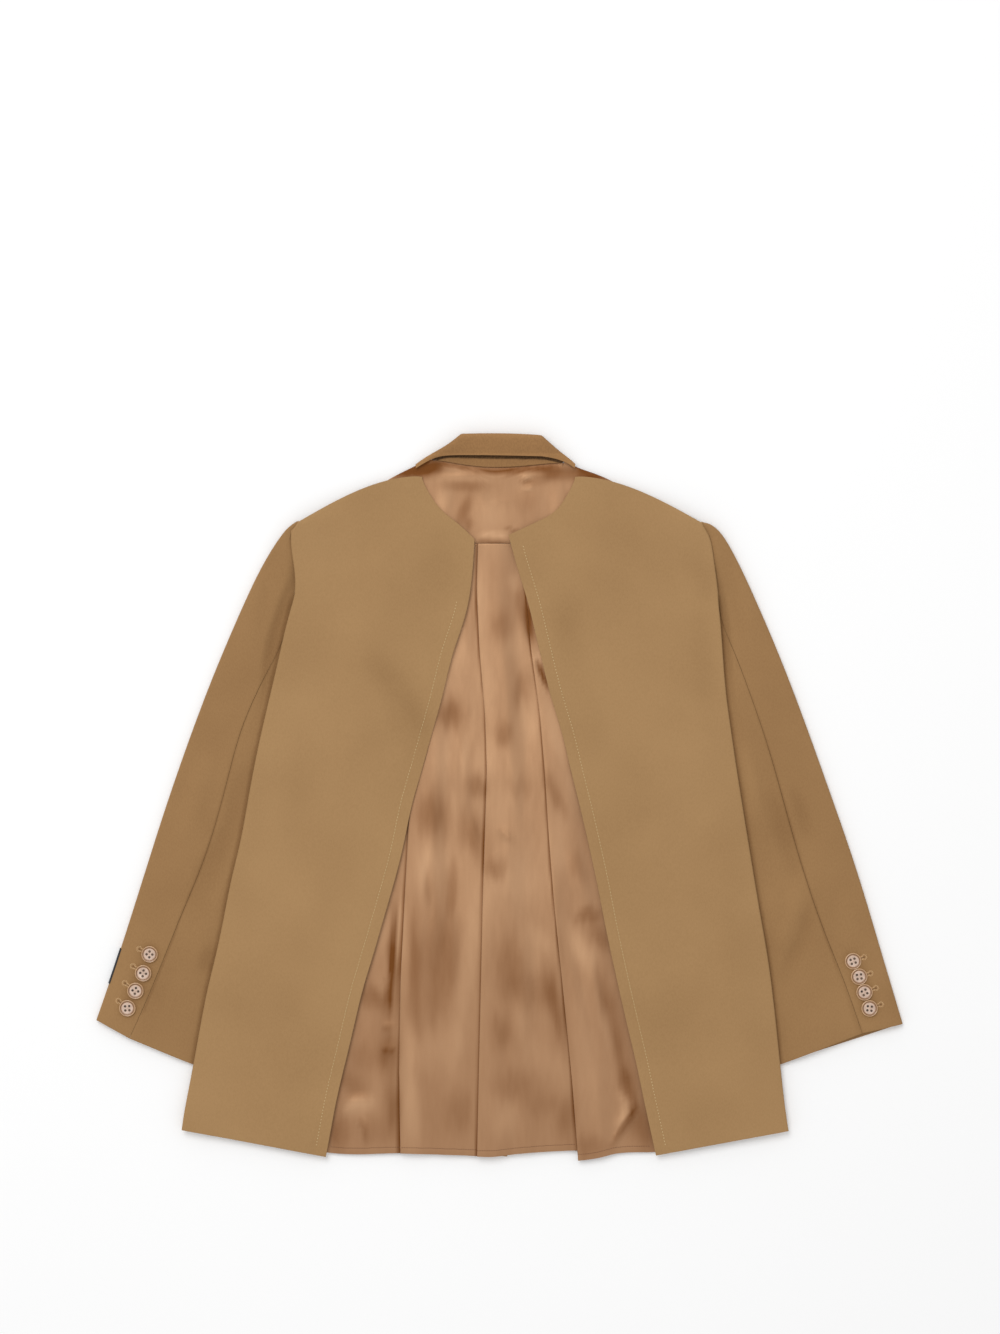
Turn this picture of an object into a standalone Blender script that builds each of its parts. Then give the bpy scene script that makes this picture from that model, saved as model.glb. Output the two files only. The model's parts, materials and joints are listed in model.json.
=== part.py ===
"""Blazer laid face down on a flat surface, seen from its open back.

Every cut piece is a closed cloth wall around a mid surface. The mid surface is a grid:
its rows are sections across the piece, from the tables below, and its heights come
from the layers that lie under it. Tables and heights are in millimetres.
X runs across the garment, Y from the hem to the collar, Z up from the surface.
Left and right are the wearer's, which are also the left and right of the back view.
"""
import math
from collections import namedtuple

import bmesh
import bpy
import numpy as np

MM = 0.001

# Driving sizes: cloth walls and the clearances between them
WOOL = 1.5
SATIN = 1.0
LABEL_TAPE = 0.8
LAPEL_WALL = 1.4
SEAM_GAP = 0.3
LAYER_GAP = 1.0

# Resting levels of the layers, as mid surfaces above the table
FLOOR_LEVEL = WOOL / 2
TOP_LEVEL = 6.0
TUCKED_LEVEL = 3.35
YOKE_DROP = 0.5

# How high the layers rise over what lies under them, and how far the shoulder rolls down
TUCK_LIFT = 4.5
LAPEL_LIFT = 1.8
OVERLAP_LIFT = 1.9
SIDE_LIFT = 2.5
OPENING_LIFT = 1.6
SHOULDER_LIFT = 7.0
SHOULDER_END = (205.0, 305.0)
SHOULDER_SPREAD = (60.0, 42.0)
SHOULDER_ROLL = 2.0
SHOULDER_ROLL_DEPTH = 4.0
SHOULDER_ROLL_SHARE = 0.85
SWELL_HEIGHT = 0.7
SWELL_LENGTH = 47.0
GULLY_DEPTH = 1.5
GULLY_PLACE = 30.0
GULLY_WIDTH = 13.0

# Ramps, each as the place where a rise starts and the place where it is full
LAPEL_ALONG = (-64, 26)
LAPEL_ACROSS = (215, 165)
TUCK_INSIDE = (34, 3)
TUCK_ALONG = (275, 236)
OVERLAP_ACROSS = (-130, -45)
OVERLAP_ALONG = (90, 20)
OVERLAP_UNDER_LINING = (80, 35)
PLEATS_FROM_OPENING = (135, 84)
PLEATS_ALONG = (322, 288)
SIDE_FROM_EDGE = (60, 18)
SIDE_ALONG = (272, 236)
SWELL_FROM_OPENING = (50, 90)
SWELL_FROM_EDGE = (10, 60)
SWELL_ALONG = (250, 180)
SLEEVE_TUCK_OUTSIDE = (17, 3)
SLEEVE_TUCK_ALONG = (262, 226)
GULLY_START = (60, -20)
GULLY_END = (-190, -110)
SHOULDER_ROLL_ACROSS = (130, 165)
COLLAR_LEFT_END = (-92, -44)
COLLAR_RIGHT_END = (83, 46)

# Back panel: its columns, and how its edge turns in at the armhole and at the side
BACK_COLUMNS = (0, 0.03, 0.1, 0.22, 0.36, 0.52, 0.68, 0.84, 1.0)
EDGE_STEPS = 4
EDGE_RADIUS = (TOP_LEVEL + SIDE_LIFT - FLOOR_LEVEL - TUCK_LIFT) / 2
ARMHOLE_TURN = 0.3
ARMHOLE_RUN = 0.5
ARMHOLE_INSET = 1.2
SIDE_TURN_UNDER = 9.0

# Front panel: its columns near the side, and how far its edges stay inside the back's
SIDE_COLUMNS = (0.0, 12.0, 25.0, 40.0, 58.0)
FRONT_COLUMNS = 8
FRONT_ARMHOLE_INSET = 1.6
FRONT_SHOULDER_INSET = 2.5
FRONT_CORNER_INSET = 3.0

# Sleeve
SLEEVE_EDGE_RADIUS = 2.3
SLEEVE_HEAD_RADIUS = 1.5
SLEEVE_EDGE_STEPS = 6
SLEEVE_INNER_RADIUS = (TUCKED_LEVEL - FLOOR_LEVEL) / 2
SLEEVE_STEPS = 2
UNDER_SLEEVE_COLUMNS = (0, 0.12, 0.28, 0.44, 0.6, 0.76, 0.9, 1.0)
FOREARM_SEAM_INSET = 26.0
FOREARM_MOST = 0.85
ARMHOLE_CLEARANCE = 0.5
ARMPIT_CLEARANCE = 1.6
HEAD_DROP = 1.0

# Lining
YOKE_SEAM_Y = 279.0
YOKE_HALF_WIDTH = 135.0
YOKE_SECTIONS = (0, 0.15, 0.4, 0.65, 0.85, 1.0)
SKIRT_HEM_HALF_WIDTH = (-222.0, 212.0)
SKIRT_HEM_LEVEL = -392.0
SKIRT_SECTIONS = (0, 0.07, 0.17, 0.28, 0.37, 0.46, 0.58, 0.72, 0.87, 1.0)
FLUTE_HEIGHT = 0.9
FLUTE_SPACING = 44.0
FLUTE_LEAN = 0.05
FLUTE_LEAST = 0.25
FLUTE_FROM_EDGE = (2, 16)
FLUTE_ALONG = (220, -250)

# Pleats: a fold's depth and layers, and how far its points follow the loose flap
PLEAT_DEPTH = 22.0
PLEAT_LAYER = 1.3
PLEAT_PANEL_START = 0.12
PLEAT_INSIDE_BEND = 6.0
FLAP_AT_TURN = 0.2
FLAP_AT_BEND = 0.8

# Collar
COLLAR_ROLL_RADIUS = 3.8
COLLAR_END_RADIUS = 1.3
COLLAR_UNDER_RUN = 0.9
COLLAR_ROLL_STEPS = 6
STAND_SECTIONS = (0, 0.35, 0.7, 1.0)
STAND_TOP_LEVEL = 5.9
STAND_TOP_RISE = 0.6
STAND_STEP = 0.2
FALL_COLUMNS = (0, 0.1, 0.4, 0.75)
FALL_LEAST_RUN = 1.5
FALL_END_SINK = 0.2
FALL_SINK = 3.6

# Sleeve buttons
BUTTON_DIAMETER = 17.4
BUTTON_HOLE_DIAMETER = 2.0
BUTTON_HOLE_PITCH = 4.6
BUTTON_SIDES = 14

# One row for each section across the body, from the shoulder to the hem: where the back
# opening's edge is, where the armhole or the side edge is, how far the section bows up,
# and where the front edge or lapel roll line of the hidden front is.
BodyRow = namedtuple("BodyRow", "open_x open_y side_x side_y bow front_x front_y")
ARMHOLE_ROWS = 6

LEFT_BODY = [
    BodyRow(-85, 352, -222, 304, 11.6, -88, 348),
    BodyRow(-76, 331, -229, 293, 8, -84, 330),
    BodyRow(-63, 313, -230, 278, 5, -79, 308),
    BodyRow(-45, 301, -227, 258, 2.5, -74, 282),
    BodyRow(-27.5, 283.5, -224.5, 241, 1, -69, 260),
    BodyRow(-29, 254, -225.5, 224, 0, -64, 238),
    BodyRow(-33, 215, -232, 200, 0, -58, 212),
    BodyRow(-42, 184, -239, 172, 0, -51, 180),
    BodyRow(-53, 155, -244, 148, 0, -44, 148),
    BodyRow(-62.5, 110, -253, 110, 0, -34, 107),
    BodyRow(-74.5, 70, -262.5, 70, 0, -24, 66),
    BodyRow(-85, 30, -271, 30, 0, -12, 26),
    BodyRow(-97.5, -10, -278, -10, 0, 20, -12),
    BodyRow(-104.5, -50, -285, -50, 0, 30, -50),
    BodyRow(-114.5, -90, -295.5, -90, 0, 30, -90),
    BodyRow(-126.5, -130, -303, -130, 0, 30, -130),
    BodyRow(-137.5, -170, -311, -170, 0, 30, -170),
    BodyRow(-150.5, -210, -321.5, -210, 0, 30, -210),
    BodyRow(-159.5, -250, -329, -250, 0, 30, -250),
    BodyRow(-169, -290, -336, -290, 0, 30, -290),
    BodyRow(-179, -330, -343, -326, 0, 30, -330),
    BodyRow(-185, -364, -348, -352, 0, 26, -368),
    BodyRow(-191, -395.5, -349.5, -366, 0, 8, -396),
]
RIGHT_BODY = [
    BodyRow(83, 352, 223, 303, 11, 86, 348),
    BodyRow(74, 331, 232, 286, 7.5, 82, 330),
    BodyRow(62, 312.5, 235, 268, 4.5, 77, 308),
    BodyRow(40, 302, 237.5, 250, 2, 72, 282),
    BodyRow(10, 288, 239.5, 235, 0, 67, 260),
    BodyRow(18.5, 254, 241, 220, 0, 62, 238),
    BodyRow(31, 217, 243, 196, 0, 56, 212),
    BodyRow(38, 186, 245, 170, 0, 49, 180),
    BodyRow(46, 153, 246.5, 148, 0, 42, 148),
    BodyRow(56, 110, 249.5, 110, 0, 32, 107),
    BodyRow(69.5, 70, 255.5, 70, 0, 22, 66),
    BodyRow(78, 30, 261, 30, 0, 10, 26),
    BodyRow(88.5, -10, 267.5, -10, 0, -20, -12),
    BodyRow(97.5, -50, 274, -50, 0, -30, -50),
    BodyRow(106.5, -90, 280.5, -90, 0, -30, -90),
    BodyRow(114, -130, 287, -130, 0, -30, -130),
    BodyRow(122, -170, 294.5, -170, 0, -30, -170),
    BodyRow(131, -210, 300, -210, 0, -30, -210),
    BodyRow(140, -250, 304.5, -250, 0, -30, -250),
    BodyRow(150, -290, 308.5, -290, 0, -30, -290),
    BodyRow(158, -330, 312.5, -328, 0, -30, -330),
    BodyRow(165.5, -364, 316, -354, 0, -26, -368),
    BodyRow(172, -394, 318, -367, 0, -8, -396),
]

# One row for each section across a sleeve, from the armhole to the cuff: the outer
# edge, the elbow seam and the inner edge that is tucked under the body.
SleeveRow = namedtuple("SleeveRow", "outer_x outer_y seam_x seam_y inner_x inner_y")

LEFT_SLEEVE = [
    SleeveRow(-225.5, 303.3, -225.5, 224, -203, 202),
    SleeveRow(-240, 288, -238, 172, -212, 162),
    SleeveRow(-266, 246, -260, 130, -222, 120),
    SleeveRow(-301, 168, -284, 75, -235, 60),
    SleeveRow(-331, 93, -299, 20, -246, 5),
    SleeveRow(-365, -3, -321, -58.5, -263, -74),
    SleeveRow(-393, -91, -353, -137, -281, -154),
    SleeveRow(-421, -179, -383, -211.5, -301, -237),
    SleeveRow(-444, -245.5, -407, -265.5, -317, -303),
]
RIGHT_SLEEVE = [
    SleeveRow(226, 302.4, 241, 220, 216, 204),
    SleeveRow(243, 292, 245, 192, 222, 168),
    SleeveRow(267, 250, 261.5, 152, 230, 120),
    SleeveRow(302, 171, 285, 87, 240, 60),
    SleeveRow(331, 97, 303, 30, 250, 5),
    SleeveRow(364, 5, 326, -54, 264, -75),
    SleeveRow(393, -79, 352, -135, 278, -155),
    SleeveRow(420, -169, 379, -202, 293, -238),
    SleeveRow(444, -249.5, 399, -260, 303, -297),
]

# One row for each level of the lining skirt: where its three pleat folds lie.
PleatRow = namedtuple("PleatRow", "y left middle right")
PLEATS = [
    PleatRow(279, -92, -24, 25),
    PleatRow(215, -93, -26, 29.5),
    PleatRow(157, -94, -22, 35),
    PleatRow(112, -95, -17, 42.5),
    PleatRow(24, -98, -14, 50),
    PleatRow(-77, -102.5, -18, 56),
    PleatRow(-171, -108.5, -20, 66),
    PleatRow(-298, -111, -23, 79),
    PleatRow(-400, -109, -25, 87),
]

# One row for each point from a pleat's upper layer back down to the panel: how far past
# the fold's inner turn it lies, and on which layer.
PleatPoint = namedtuple("PleatPoint", "run layer")
PLEAT_POINTS = [PleatPoint(-6, 2), PleatPoint(4, 2), PleatPoint(13, 0.7), PleatPoint(20, 0)]

# One row for each station along the satin's hem and how low it hangs there.
HemRow = namedtuple("HemRow", "x y")
SKIRT_HEM = [
    HemRow(-222, -386),
    HemRow(-190, -392),
    HemRow(-163, -393.5),
    HemRow(-110, -391.5),
    HemRow(-51, -393.5),
    HemRow(-10, -395.5),
    HemRow(33, -391),
    HemRow(84, -388.5),
    HemRow(130, -389.5),
    HemRow(172, -391.5),
    HemRow(212, -386),
]
RIGHT_FLAP_DROP = 11.1
RIGHT_FLAP_LENGTH = 60.0

# One row for each station along the satin yoke's upper edge.
YOKE_TOP = [
    HemRow(-135, 341),
    HemRow(-122, 349.5),
    HemRow(-108, 357),
    HemRow(-94, 363.5),
    HemRow(-84, 369.5),
    HemRow(-76.2, 373),
    HemRow(-74.8, 370.9),
    HemRow(-48, 366.7),
    HemRow(-32, 363.7),
    HemRow(-9, 362.3),
    HemRow(14, 362.7),
    HemRow(45, 366),
    HemRow(62, 367.3),
    HemRow(70.8, 367.3),
    HemRow(72.2, 370.2),
    HemRow(78, 368),
    HemRow(84, 362.5),
    HemRow(107, 355.5),
    HemRow(124, 347.5),
    HemRow(135, 341),
]

# One row for each station along the collar: its free lower edge and its top outline,
# and then one for each station along the stand's seam to the yoke.
CollarRow = namedtuple("CollarRow", "x free_y top_y")
COLLAR = [
    CollarRow(-92, 361.5, 366),
    CollarRow(-84, 366.5, 372),
    CollarRow(-74, 372.5, 378),
    CollarRow(-63, 375.5, 384),
    CollarRow(-52, 376, 391),
    CollarRow(-42, 376, 399.5),
    CollarRow(-20, 376, 400),
    CollarRow(0, 375.7, 400),
    CollarRow(24, 375.2, 399.5),
    CollarRow(46, 374.7, 398),
    CollarRow(59, 373, 386),
    CollarRow(70, 369.5, 377),
    CollarRow(77, 366, 372),
    CollarRow(83, 361.5, 366.5),
]
StandRow = namedtuple("StandRow", "x seam_y")
STAND = [
    StandRow(-74, 371.5),
    StandRow(-63, 369.9),
    StandRow(-52, 368.1),
    StandRow(-42, 366.2),
    StandRow(-20, 363.3),
    StandRow(0, 362.9),
    StandRow(24, 364),
    StandRow(46, 366.5),
    StandRow(59, 367.6),
    StandRow(70, 367.9),
]

# Hidden face of the lapels and of the collar's front ends, as corners of flat pieces
# that lie on the table; the right side mirrors them.
LAPEL_CORNERS = [(-14, 30), (-52, 166), (-73, 289), (-119, 243), (-151, 222), (-128, 150), (-78, 72)]
COLLAR_END_CORNERS = [(-74, 293), (-86, 350), (-93, 360), (-112, 335), (-142, 262), (-120, 246.5)]

# One row for each ring of a button, from its underside up: the share of its radius, and
# its height.
ButtonRing = namedtuple("ButtonRing", "share height")
BUTTON_RINGS = [
    ButtonRing(0.72, 0.0),
    ButtonRing(0.93, 0.5),
    ButtonRing(1.0, 1.4),
    ButtonRing(0.96, 2.4),
    ButtonRing(0.84, 2.9),
    ButtonRing(0.7, 2.5),
    ButtonRing(0.62, 1.9),
]

# Centres of the sleeve buttons, from the upper one to the cuff.
LEFT_BUTTONS = [(-384.7, -172.9), (-391.7, -193.7), (-400.2, -213), (-409.1, -232.1)]
RIGHT_BUTTONS = [(388.7, -180.4), (395.4, -197.4), (401.2, -214.6), (406.8, -232.3)]

# Blank label that wraps the left sleeve's outer edge.
LABEL_Y = (-166.7, -205.2)
LABEL_ANGLES = (25.0, 125.0)


def smooth(start, end, value):
    """Soft step from 0 at start to 1 at end."""
    share = np.clip((np.asarray(value, float) - start) / (end - start), 0.0, 1.0)
    return share * share * (3.0 - 2.0 * share)


def lookup(table, at, key, value):
    """Straight-line reading of one named column of a table against another."""
    pairs = sorted((getattr(row, key), getattr(row, value)) for row in table)
    keys, values = zip(*pairs)
    return np.interp(at, keys, values)


def curve_through(rows, steps):
    """Smooth curve through rows of points, with a number of steps for each row."""
    rows = np.asarray(rows, float)
    last = len(rows) - 1
    result = []
    for place in np.linspace(0, last, last * steps + 1):
        first = min(int(place), last - 1)
        share = place - first
        before = rows[max(first - 1, 0)]
        here = rows[first]
        there = rows[first + 1]
        after = rows[min(first + 2, last)]
        slope_here = (there - before) / 2
        slope_there = (after - here) / 2
        square = share * share
        cube = square * share
        result.append(
            (2 * cube - 3 * square + 1) * here
            + (cube - 2 * square + share) * slope_here
            + (3 * square - 2 * cube) * there
            + (cube - square) * slope_there
        )
    return np.array(result)


def side_edge(body, y):
    """Across position of the body's side edge at a level."""
    return lookup(body[ARMHOLE_ROWS - 1:], y, "side_y", "side_x")


def opening_edge(body, y):
    """Across position of the back opening's edge at a level."""
    return lookup(body[3:], y, "open_y", "open_x")


def shoulder_lift(x, y):
    """Rise of all layers over the curved shoulder ends."""
    across = (np.abs(x) - SHOULDER_END[0]) / SHOULDER_SPREAD[0]
    along = (y - SHOULDER_END[1]) / SHOULDER_SPREAD[1]
    return SHOULDER_LIFT * np.exp(-across ** 2 - along ** 2)


def lapel_lift(x, y):
    """Rise of the body's layers over the turned-back lapels."""
    return LAPEL_LIFT * smooth(*LAPEL_ALONG, y) * smooth(*LAPEL_ACROSS, np.abs(x))


def tuck_lift(x, y):
    """Rise of the fronts over the sleeves' inner edges."""
    lift = 0
    for sign, sleeve in ((-1, LEFT_SLEEVE), (1, RIGHT_SLEEVE)):
        inside = sign * (lookup(sleeve, y, "inner_y", "inner_x") - x)
        lift = lift + TUCK_LIFT * smooth(*TUCK_INSIDE, inside) * smooth(*TUCK_ALONG, y)
    return lift


def overlap_lift(x, y):
    """Rise of the left front where it lies on the right one, below the lapels."""
    return OVERLAP_LIFT * smooth(*OVERLAP_ACROSS, x) * smooth(*OVERLAP_ALONG, y)


def front_level(x, y, on_top):
    """Mid surface of a front; the left front lies on the right one at the overlap."""
    overlap = overlap_lift(x, y) if on_top else 0
    return FLOOR_LEVEL + shoulder_lift(x, y) + lapel_lift(x, y) + tuck_lift(x, y) + overlap


def fronts_top(x, y):
    """Upper side of the fronts, which carries the lining."""
    overlap = overlap_lift(x, y) * smooth(*OVERLAP_UNDER_LINING, x)
    return WOOL + shoulder_lift(x, y) + lapel_lift(x, y) + tuck_lift(x, y) + overlap


def lining_level(x, y):
    """Mid surface of one layer of satin on the fronts."""
    return fronts_top(x, y) + LAYER_GAP + SATIN / 2


def back_level(body, x, y):
    """Mid surface of a wool back, over the pleats near its opening and its side edge."""
    sign = math.copysign(1, body[0].side_x)
    from_opening = sign * (x - opening_edge(body, y))
    from_side = sign * (side_edge(body, y) - x)
    over_pleats = smooth(*PLEATS_FROM_OPENING, from_opening) * smooth(*PLEATS_ALONG, y)
    over_side = smooth(*SIDE_FROM_EDGE, from_side) * smooth(*SIDE_ALONG, y)
    between = smooth(*SWELL_FROM_OPENING, from_opening) * smooth(*SWELL_FROM_EDGE, from_side)
    swell = SWELL_HEIGHT * between * smooth(*SWELL_ALONG, y) * (1 + np.sin(y / SWELL_LENGTH + sign))
    return (
        TOP_LEVEL
        + shoulder_lift(x, y)
        + over_pleats * (OPENING_LIFT + lapel_lift(x, y) + overlap_lift(x, y) * (sign < 0))
        + over_side * SIDE_LIFT
        + swell
    )


def sleeve_level(body, x, y):
    """Mid surface of a sleeve's upper side, sinking where the body lies on it."""
    sign = math.copysign(1, body[0].side_x)
    outside = sign * (x - side_edge(body, y))
    tucked = smooth(*SLEEVE_TUCK_OUTSIDE, outside) * smooth(*SLEEVE_TUCK_ALONG, y)
    gully = GULLY_DEPTH * np.exp(-((outside - GULLY_PLACE) / GULLY_WIDTH) ** 2)
    gully = gully * smooth(*GULLY_START, y) * smooth(*GULLY_END, y)
    return TOP_LEVEL + shoulder_lift(x, y) - tucked * (TOP_LEVEL - TUCKED_LEVEL) - gully * (1 - tucked)


def srgb(red, green, blue):
    """Linear colour of an 8-bit screen colour."""
    return tuple(((value / 255 + 0.055) / 1.055) ** 2.4 for value in (red, green, blue)) + (1.0,)


def make_material(name, colour, roughness):
    """Principled material with one colour."""
    material = bpy.data.materials.new(name)
    material.use_nodes = True
    shader = material.node_tree.nodes["Principled BSDF"]
    shader.inputs["Base Color"].default_value = colour
    shader.inputs["Roughness"].default_value = roughness
    shader.inputs["Metallic"].default_value = 0.0
    material.diffuse_color = colour
    return material


def add_object(name, bm, material):
    """Object from a mesh whose numbers are millimetres, with its faces turned out."""
    bmesh.ops.scale(bm, vec=(MM, MM, MM), verts=bm.verts)
    bmesh.ops.recalc_face_normals(bm, faces=bm.faces)
    mesh = bpy.data.meshes.new(name)
    bm.to_mesh(mesh)
    bm.free()
    mesh.shade_smooth()
    mesh.set_sharp_from_angle(angle=math.radians(40))
    mesh.materials.append(material)
    piece = bpy.data.objects.new(name, mesh)
    bpy.context.scene.collection.objects.link(piece)
    return piece


def cloth_wall(name, grid, thickness, material):
    """Closed wall of even thickness around a grid of mid-surface points."""
    grid = np.asarray(grid, float)
    rows, columns = grid.shape[:2]
    along = np.gradient(grid, axis=0)
    across = np.gradient(grid, axis=1)
    normal = np.cross(across, along)
    normal /= np.linalg.norm(normal, axis=2, keepdims=True)
    bm = bmesh.new()
    sides = []
    for offset in (thickness / 2, -thickness / 2):
        points = grid + normal * offset
        sides.append([[bm.verts.new(point) for point in row] for row in points])
    upper, lower = sides
    for i in range(rows - 1):
        for j in range(columns - 1):
            bm.faces.new((upper[i][j], upper[i][j + 1], upper[i + 1][j + 1], upper[i + 1][j]))
            bm.faces.new((lower[i][j], lower[i + 1][j], lower[i + 1][j + 1], lower[i][j + 1]))
    rim = [(0, j) for j in range(columns)]
    rim += [(i, columns - 1) for i in range(1, rows)]
    rim += [(rows - 1, j) for j in range(columns - 2, -1, -1)]
    rim += [(i, 0) for i in range(rows - 2, 0, -1)]
    for (i, j), (k, m) in zip(rim, rim[1:] + rim[:1]):
        bm.faces.new((upper[i][j], lower[i][j], lower[k][m], upper[k][m]))
    return add_object(name, bm, material)


def flat_piece(name, corners, thickness, material):
    """Flat piece that lies on the table, from its corners."""
    bm = bmesh.new()
    face = bm.faces.new([bm.verts.new((x, y, 0)) for x, y in corners])
    risen = bmesh.ops.extrude_face_region(bm, geom=[face])["geom"]
    top = [item for item in risen if isinstance(item, bmesh.types.BMVert)]
    bmesh.ops.translate(bm, vec=(0, 0, thickness), verts=top)
    return add_object(name, bm, material)


def edge_normals(points, sign):
    """Level directions square to an edge, pointing away from the garment's middle."""
    along = np.gradient(np.asarray(points, float), axis=0)
    normal = np.stack((along[:, 1], -along[:, 0]), axis=1)
    normal /= np.linalg.norm(normal, axis=1, keepdims=True)
    return normal * np.where(normal[:, :1] * sign > 0, 1, -1)


def body_sections(body, shares, outer):
    """Level points of each section across the back, at given shares of its width."""
    sections = []
    for row, outer_point in zip(body, outer):
        start = np.array([row.open_x, row.open_y], float)
        points = start + np.outer(shares, outer_point - start)
        points[:, 1] += row.bow * np.sin(math.pi * np.asarray(shares) ** 0.8)
        sections.append(points)
    return np.array(sections)


def make_back(name, body, material):
    """Wool back: from the opening to the armhole, and round the side edge to its seam."""
    sign = math.copysign(1, body[0].side_x)
    edge = np.array([(row.side_x, row.side_y) for row in body], float)
    normals = edge_normals(edge, sign)
    turn = np.array([ARMHOLE_TURN if k < ARMHOLE_ROWS else 1.0 for k in range(len(body))]) * math.pi
    run = np.where(turn < math.pi, ARMHOLE_RUN, SIDE_TURN_UNDER)
    reach = np.where(turn < math.pi, EDGE_RADIUS * np.sin(turn) + ARMHOLE_INSET, EDGE_RADIUS + WOOL / 2)
    start = edge - normals * reach[:, None]
    sections = body_sections(body, BACK_COLUMNS, start)
    grid = []
    for k, section in enumerate(sections):
        x, y = section[:, 0], section[:, 1]
        z = back_level(body, x, y)
        roll = SHOULDER_ROLL * smooth(*SHOULDER_ROLL_ACROSS, np.abs(x)) if k == 0 else np.zeros(len(x))
        z = z - roll
        points = list(np.column_stack((x, y, z)))
        level = z[-1]
        for step in range(1, EDGE_STEPS + 1):
            angle = turn[k] * step / EDGE_STEPS
            place = start[k] + normals[k] * EDGE_RADIUS * math.sin(angle)
            points.append((*place, level - EDGE_RADIUS * (1 - math.cos(angle))))
        direction = normals[k] * math.cos(turn[k])
        end = np.array(points[-1])
        for share in (0.5, 1.0):
            drop = run[k] * share * math.sin(turn[k])
            points.append((*(end[:2] + direction * run[k] * share), end[2] - drop))
        grid.append(points)
        if k == 0:
            second = np.array(points)
            second[:, 1] -= SHOULDER_ROLL_DEPTH
            second[:, 2] += SHOULDER_ROLL_SHARE * np.append(roll, [roll[-1]] * (len(points) - len(roll)))
            grid.append(second)
    return cloth_wall(name, grid, WOOL, material)


def make_front(name, body, on_top, material):
    """Hidden front, face down: armhole or side seam to its front edge."""
    sign = math.copysign(1, body[0].side_x)
    edge = np.array([(row.side_x, row.side_y) for row in body], float)
    normals = edge_normals(edge, sign)
    seam_inset = WOOL / 2 + EDGE_RADIUS + SIDE_TURN_UNDER + SEAM_GAP
    inset = np.array([FRONT_ARMHOLE_INSET if k < ARMHOLE_ROWS else seam_inset for k in range(len(body))])
    outer = edge - normals * inset[:, None]
    outer[0, 1] -= FRONT_CORNER_INSET
    sections = []
    for row, outer_point in zip(body, outer):
        inner_point = np.array([row.front_x, row.front_y], float)
        width = np.linalg.norm(inner_point - outer_point)
        near_side = np.array(SIDE_COLUMNS[::-1]) / width
        shares = np.append(np.linspace(0, 1 - near_side[0], FRONT_COLUMNS)[:-1], 1 - near_side)
        points = inner_point + np.outer(shares, outer_point - inner_point)
        points[:, 1] += row.bow * np.sin(math.pi * shares ** 0.8)
        sections.append(points)
    sections = np.array(sections)
    sections[0, :, 1] -= FRONT_SHOULDER_INSET
    x, y = sections[..., 0], sections[..., 1]
    grid = np.dstack((x, y, front_level(x, y, on_top)))
    return cloth_wall(name, grid, WOOL, material)


def sleeve_frame(body, sleeve):
    """Level points across a sleeve on its upper and floor sides, and its seams' normals."""
    sign = math.copysign(1, body[0].side_x)
    shares = np.linspace(0, 1, ARMHOLE_ROWS)
    armhole = np.array([(row.side_x, row.side_y) for row in body[:ARMHOLE_ROWS]], float)
    upper = [armhole]
    lower = [armhole]
    for row in sleeve[1:]:
        outer = np.array([row.outer_x, row.outer_y], float)
        seam = np.array([row.seam_x, row.seam_y], float)
        inner = np.array([row.inner_x, row.inner_y], float)
        width = np.linalg.norm(seam - inner)
        forearm = inner + (seam - inner) / width * min(FOREARM_SEAM_INSET, FOREARM_MOST * width)
        upper.append(outer + np.outer(shares, seam - outer))
        lower.append(outer + np.outer(shares, forearm - outer))
    upper = curve_through(upper, SLEEVE_STEPS)
    lower = curve_through(lower, SLEEVE_STEPS)
    elbow = edge_normals(upper[:, -1], sign)
    forearm = edge_normals(lower[:, -1], sign)
    return upper, lower, elbow, forearm


def make_top_sleeve(name, body, sleeve, material):
    """Top sleeve: elbow seam, over the outer edge, and along the table to the forearm seam."""
    upper, lower, elbow, forearm = sleeve_frame(body, sleeve)
    outer = curve_through([(row.outer_x, row.outer_y) for row in sleeve], SLEEVE_STEPS)
    normals = edge_normals(outer, math.copysign(1, body[0].side_x))
    widening = np.clip(np.arange(len(outer)) / SLEEVE_STEPS, 0, 1)
    radii = SLEEVE_HEAD_RADIUS + (SLEEVE_EDGE_RADIUS - SLEEVE_HEAD_RADIUS) * widening
    centre = outer - normals * (radii + WOOL / 2)[:, None]
    fade = np.linspace(1, 0, ARMHOLE_ROWS)[:, None]
    grid = []
    for k, radius in enumerate(radii):
        section = upper[k] + (centre[k] - upper[k][0]) * fade
        floor_side = lower[k] + (centre[k] - lower[k][0]) * fade
        section[-1] += elbow[k] * SEAM_GAP / 2
        floor_side[-1] += forearm[k] * SEAM_GAP / 2
        if k == 0:
            section = upper[k] + normals[SLEEVE_STEPS] * ARMHOLE_CLEARANCE
            section[0] = centre[0]
            floor_side = section
        x, y = section[:, 0], section[:, 1]
        base = FLOOR_LEVEL + shoulder_lift(*centre[k])
        z = sleeve_level(body, x, y)
        z[0] = base + 2 * radius
        if k == 0:
            z[1:] -= HEAD_DROP
        points = [tuple(point) for point in np.column_stack((x, y, z))[::-1]]
        for step in range(1, SLEEVE_EDGE_STEPS):
            angle = math.pi * step / SLEEVE_EDGE_STEPS
            place = centre[k] + normals[k] * radius * math.sin(angle)
            points.append((*place, base + radius * (1 + math.cos(angle))))
        floor = FLOOR_LEVEL + shoulder_lift(floor_side[:, 0], floor_side[:, 1])
        floor[0] = base
        points += [tuple(point) for point in np.column_stack((floor_side, floor))]
        grid.append(points)
    return cloth_wall(name, grid, WOOL, material)


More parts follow.
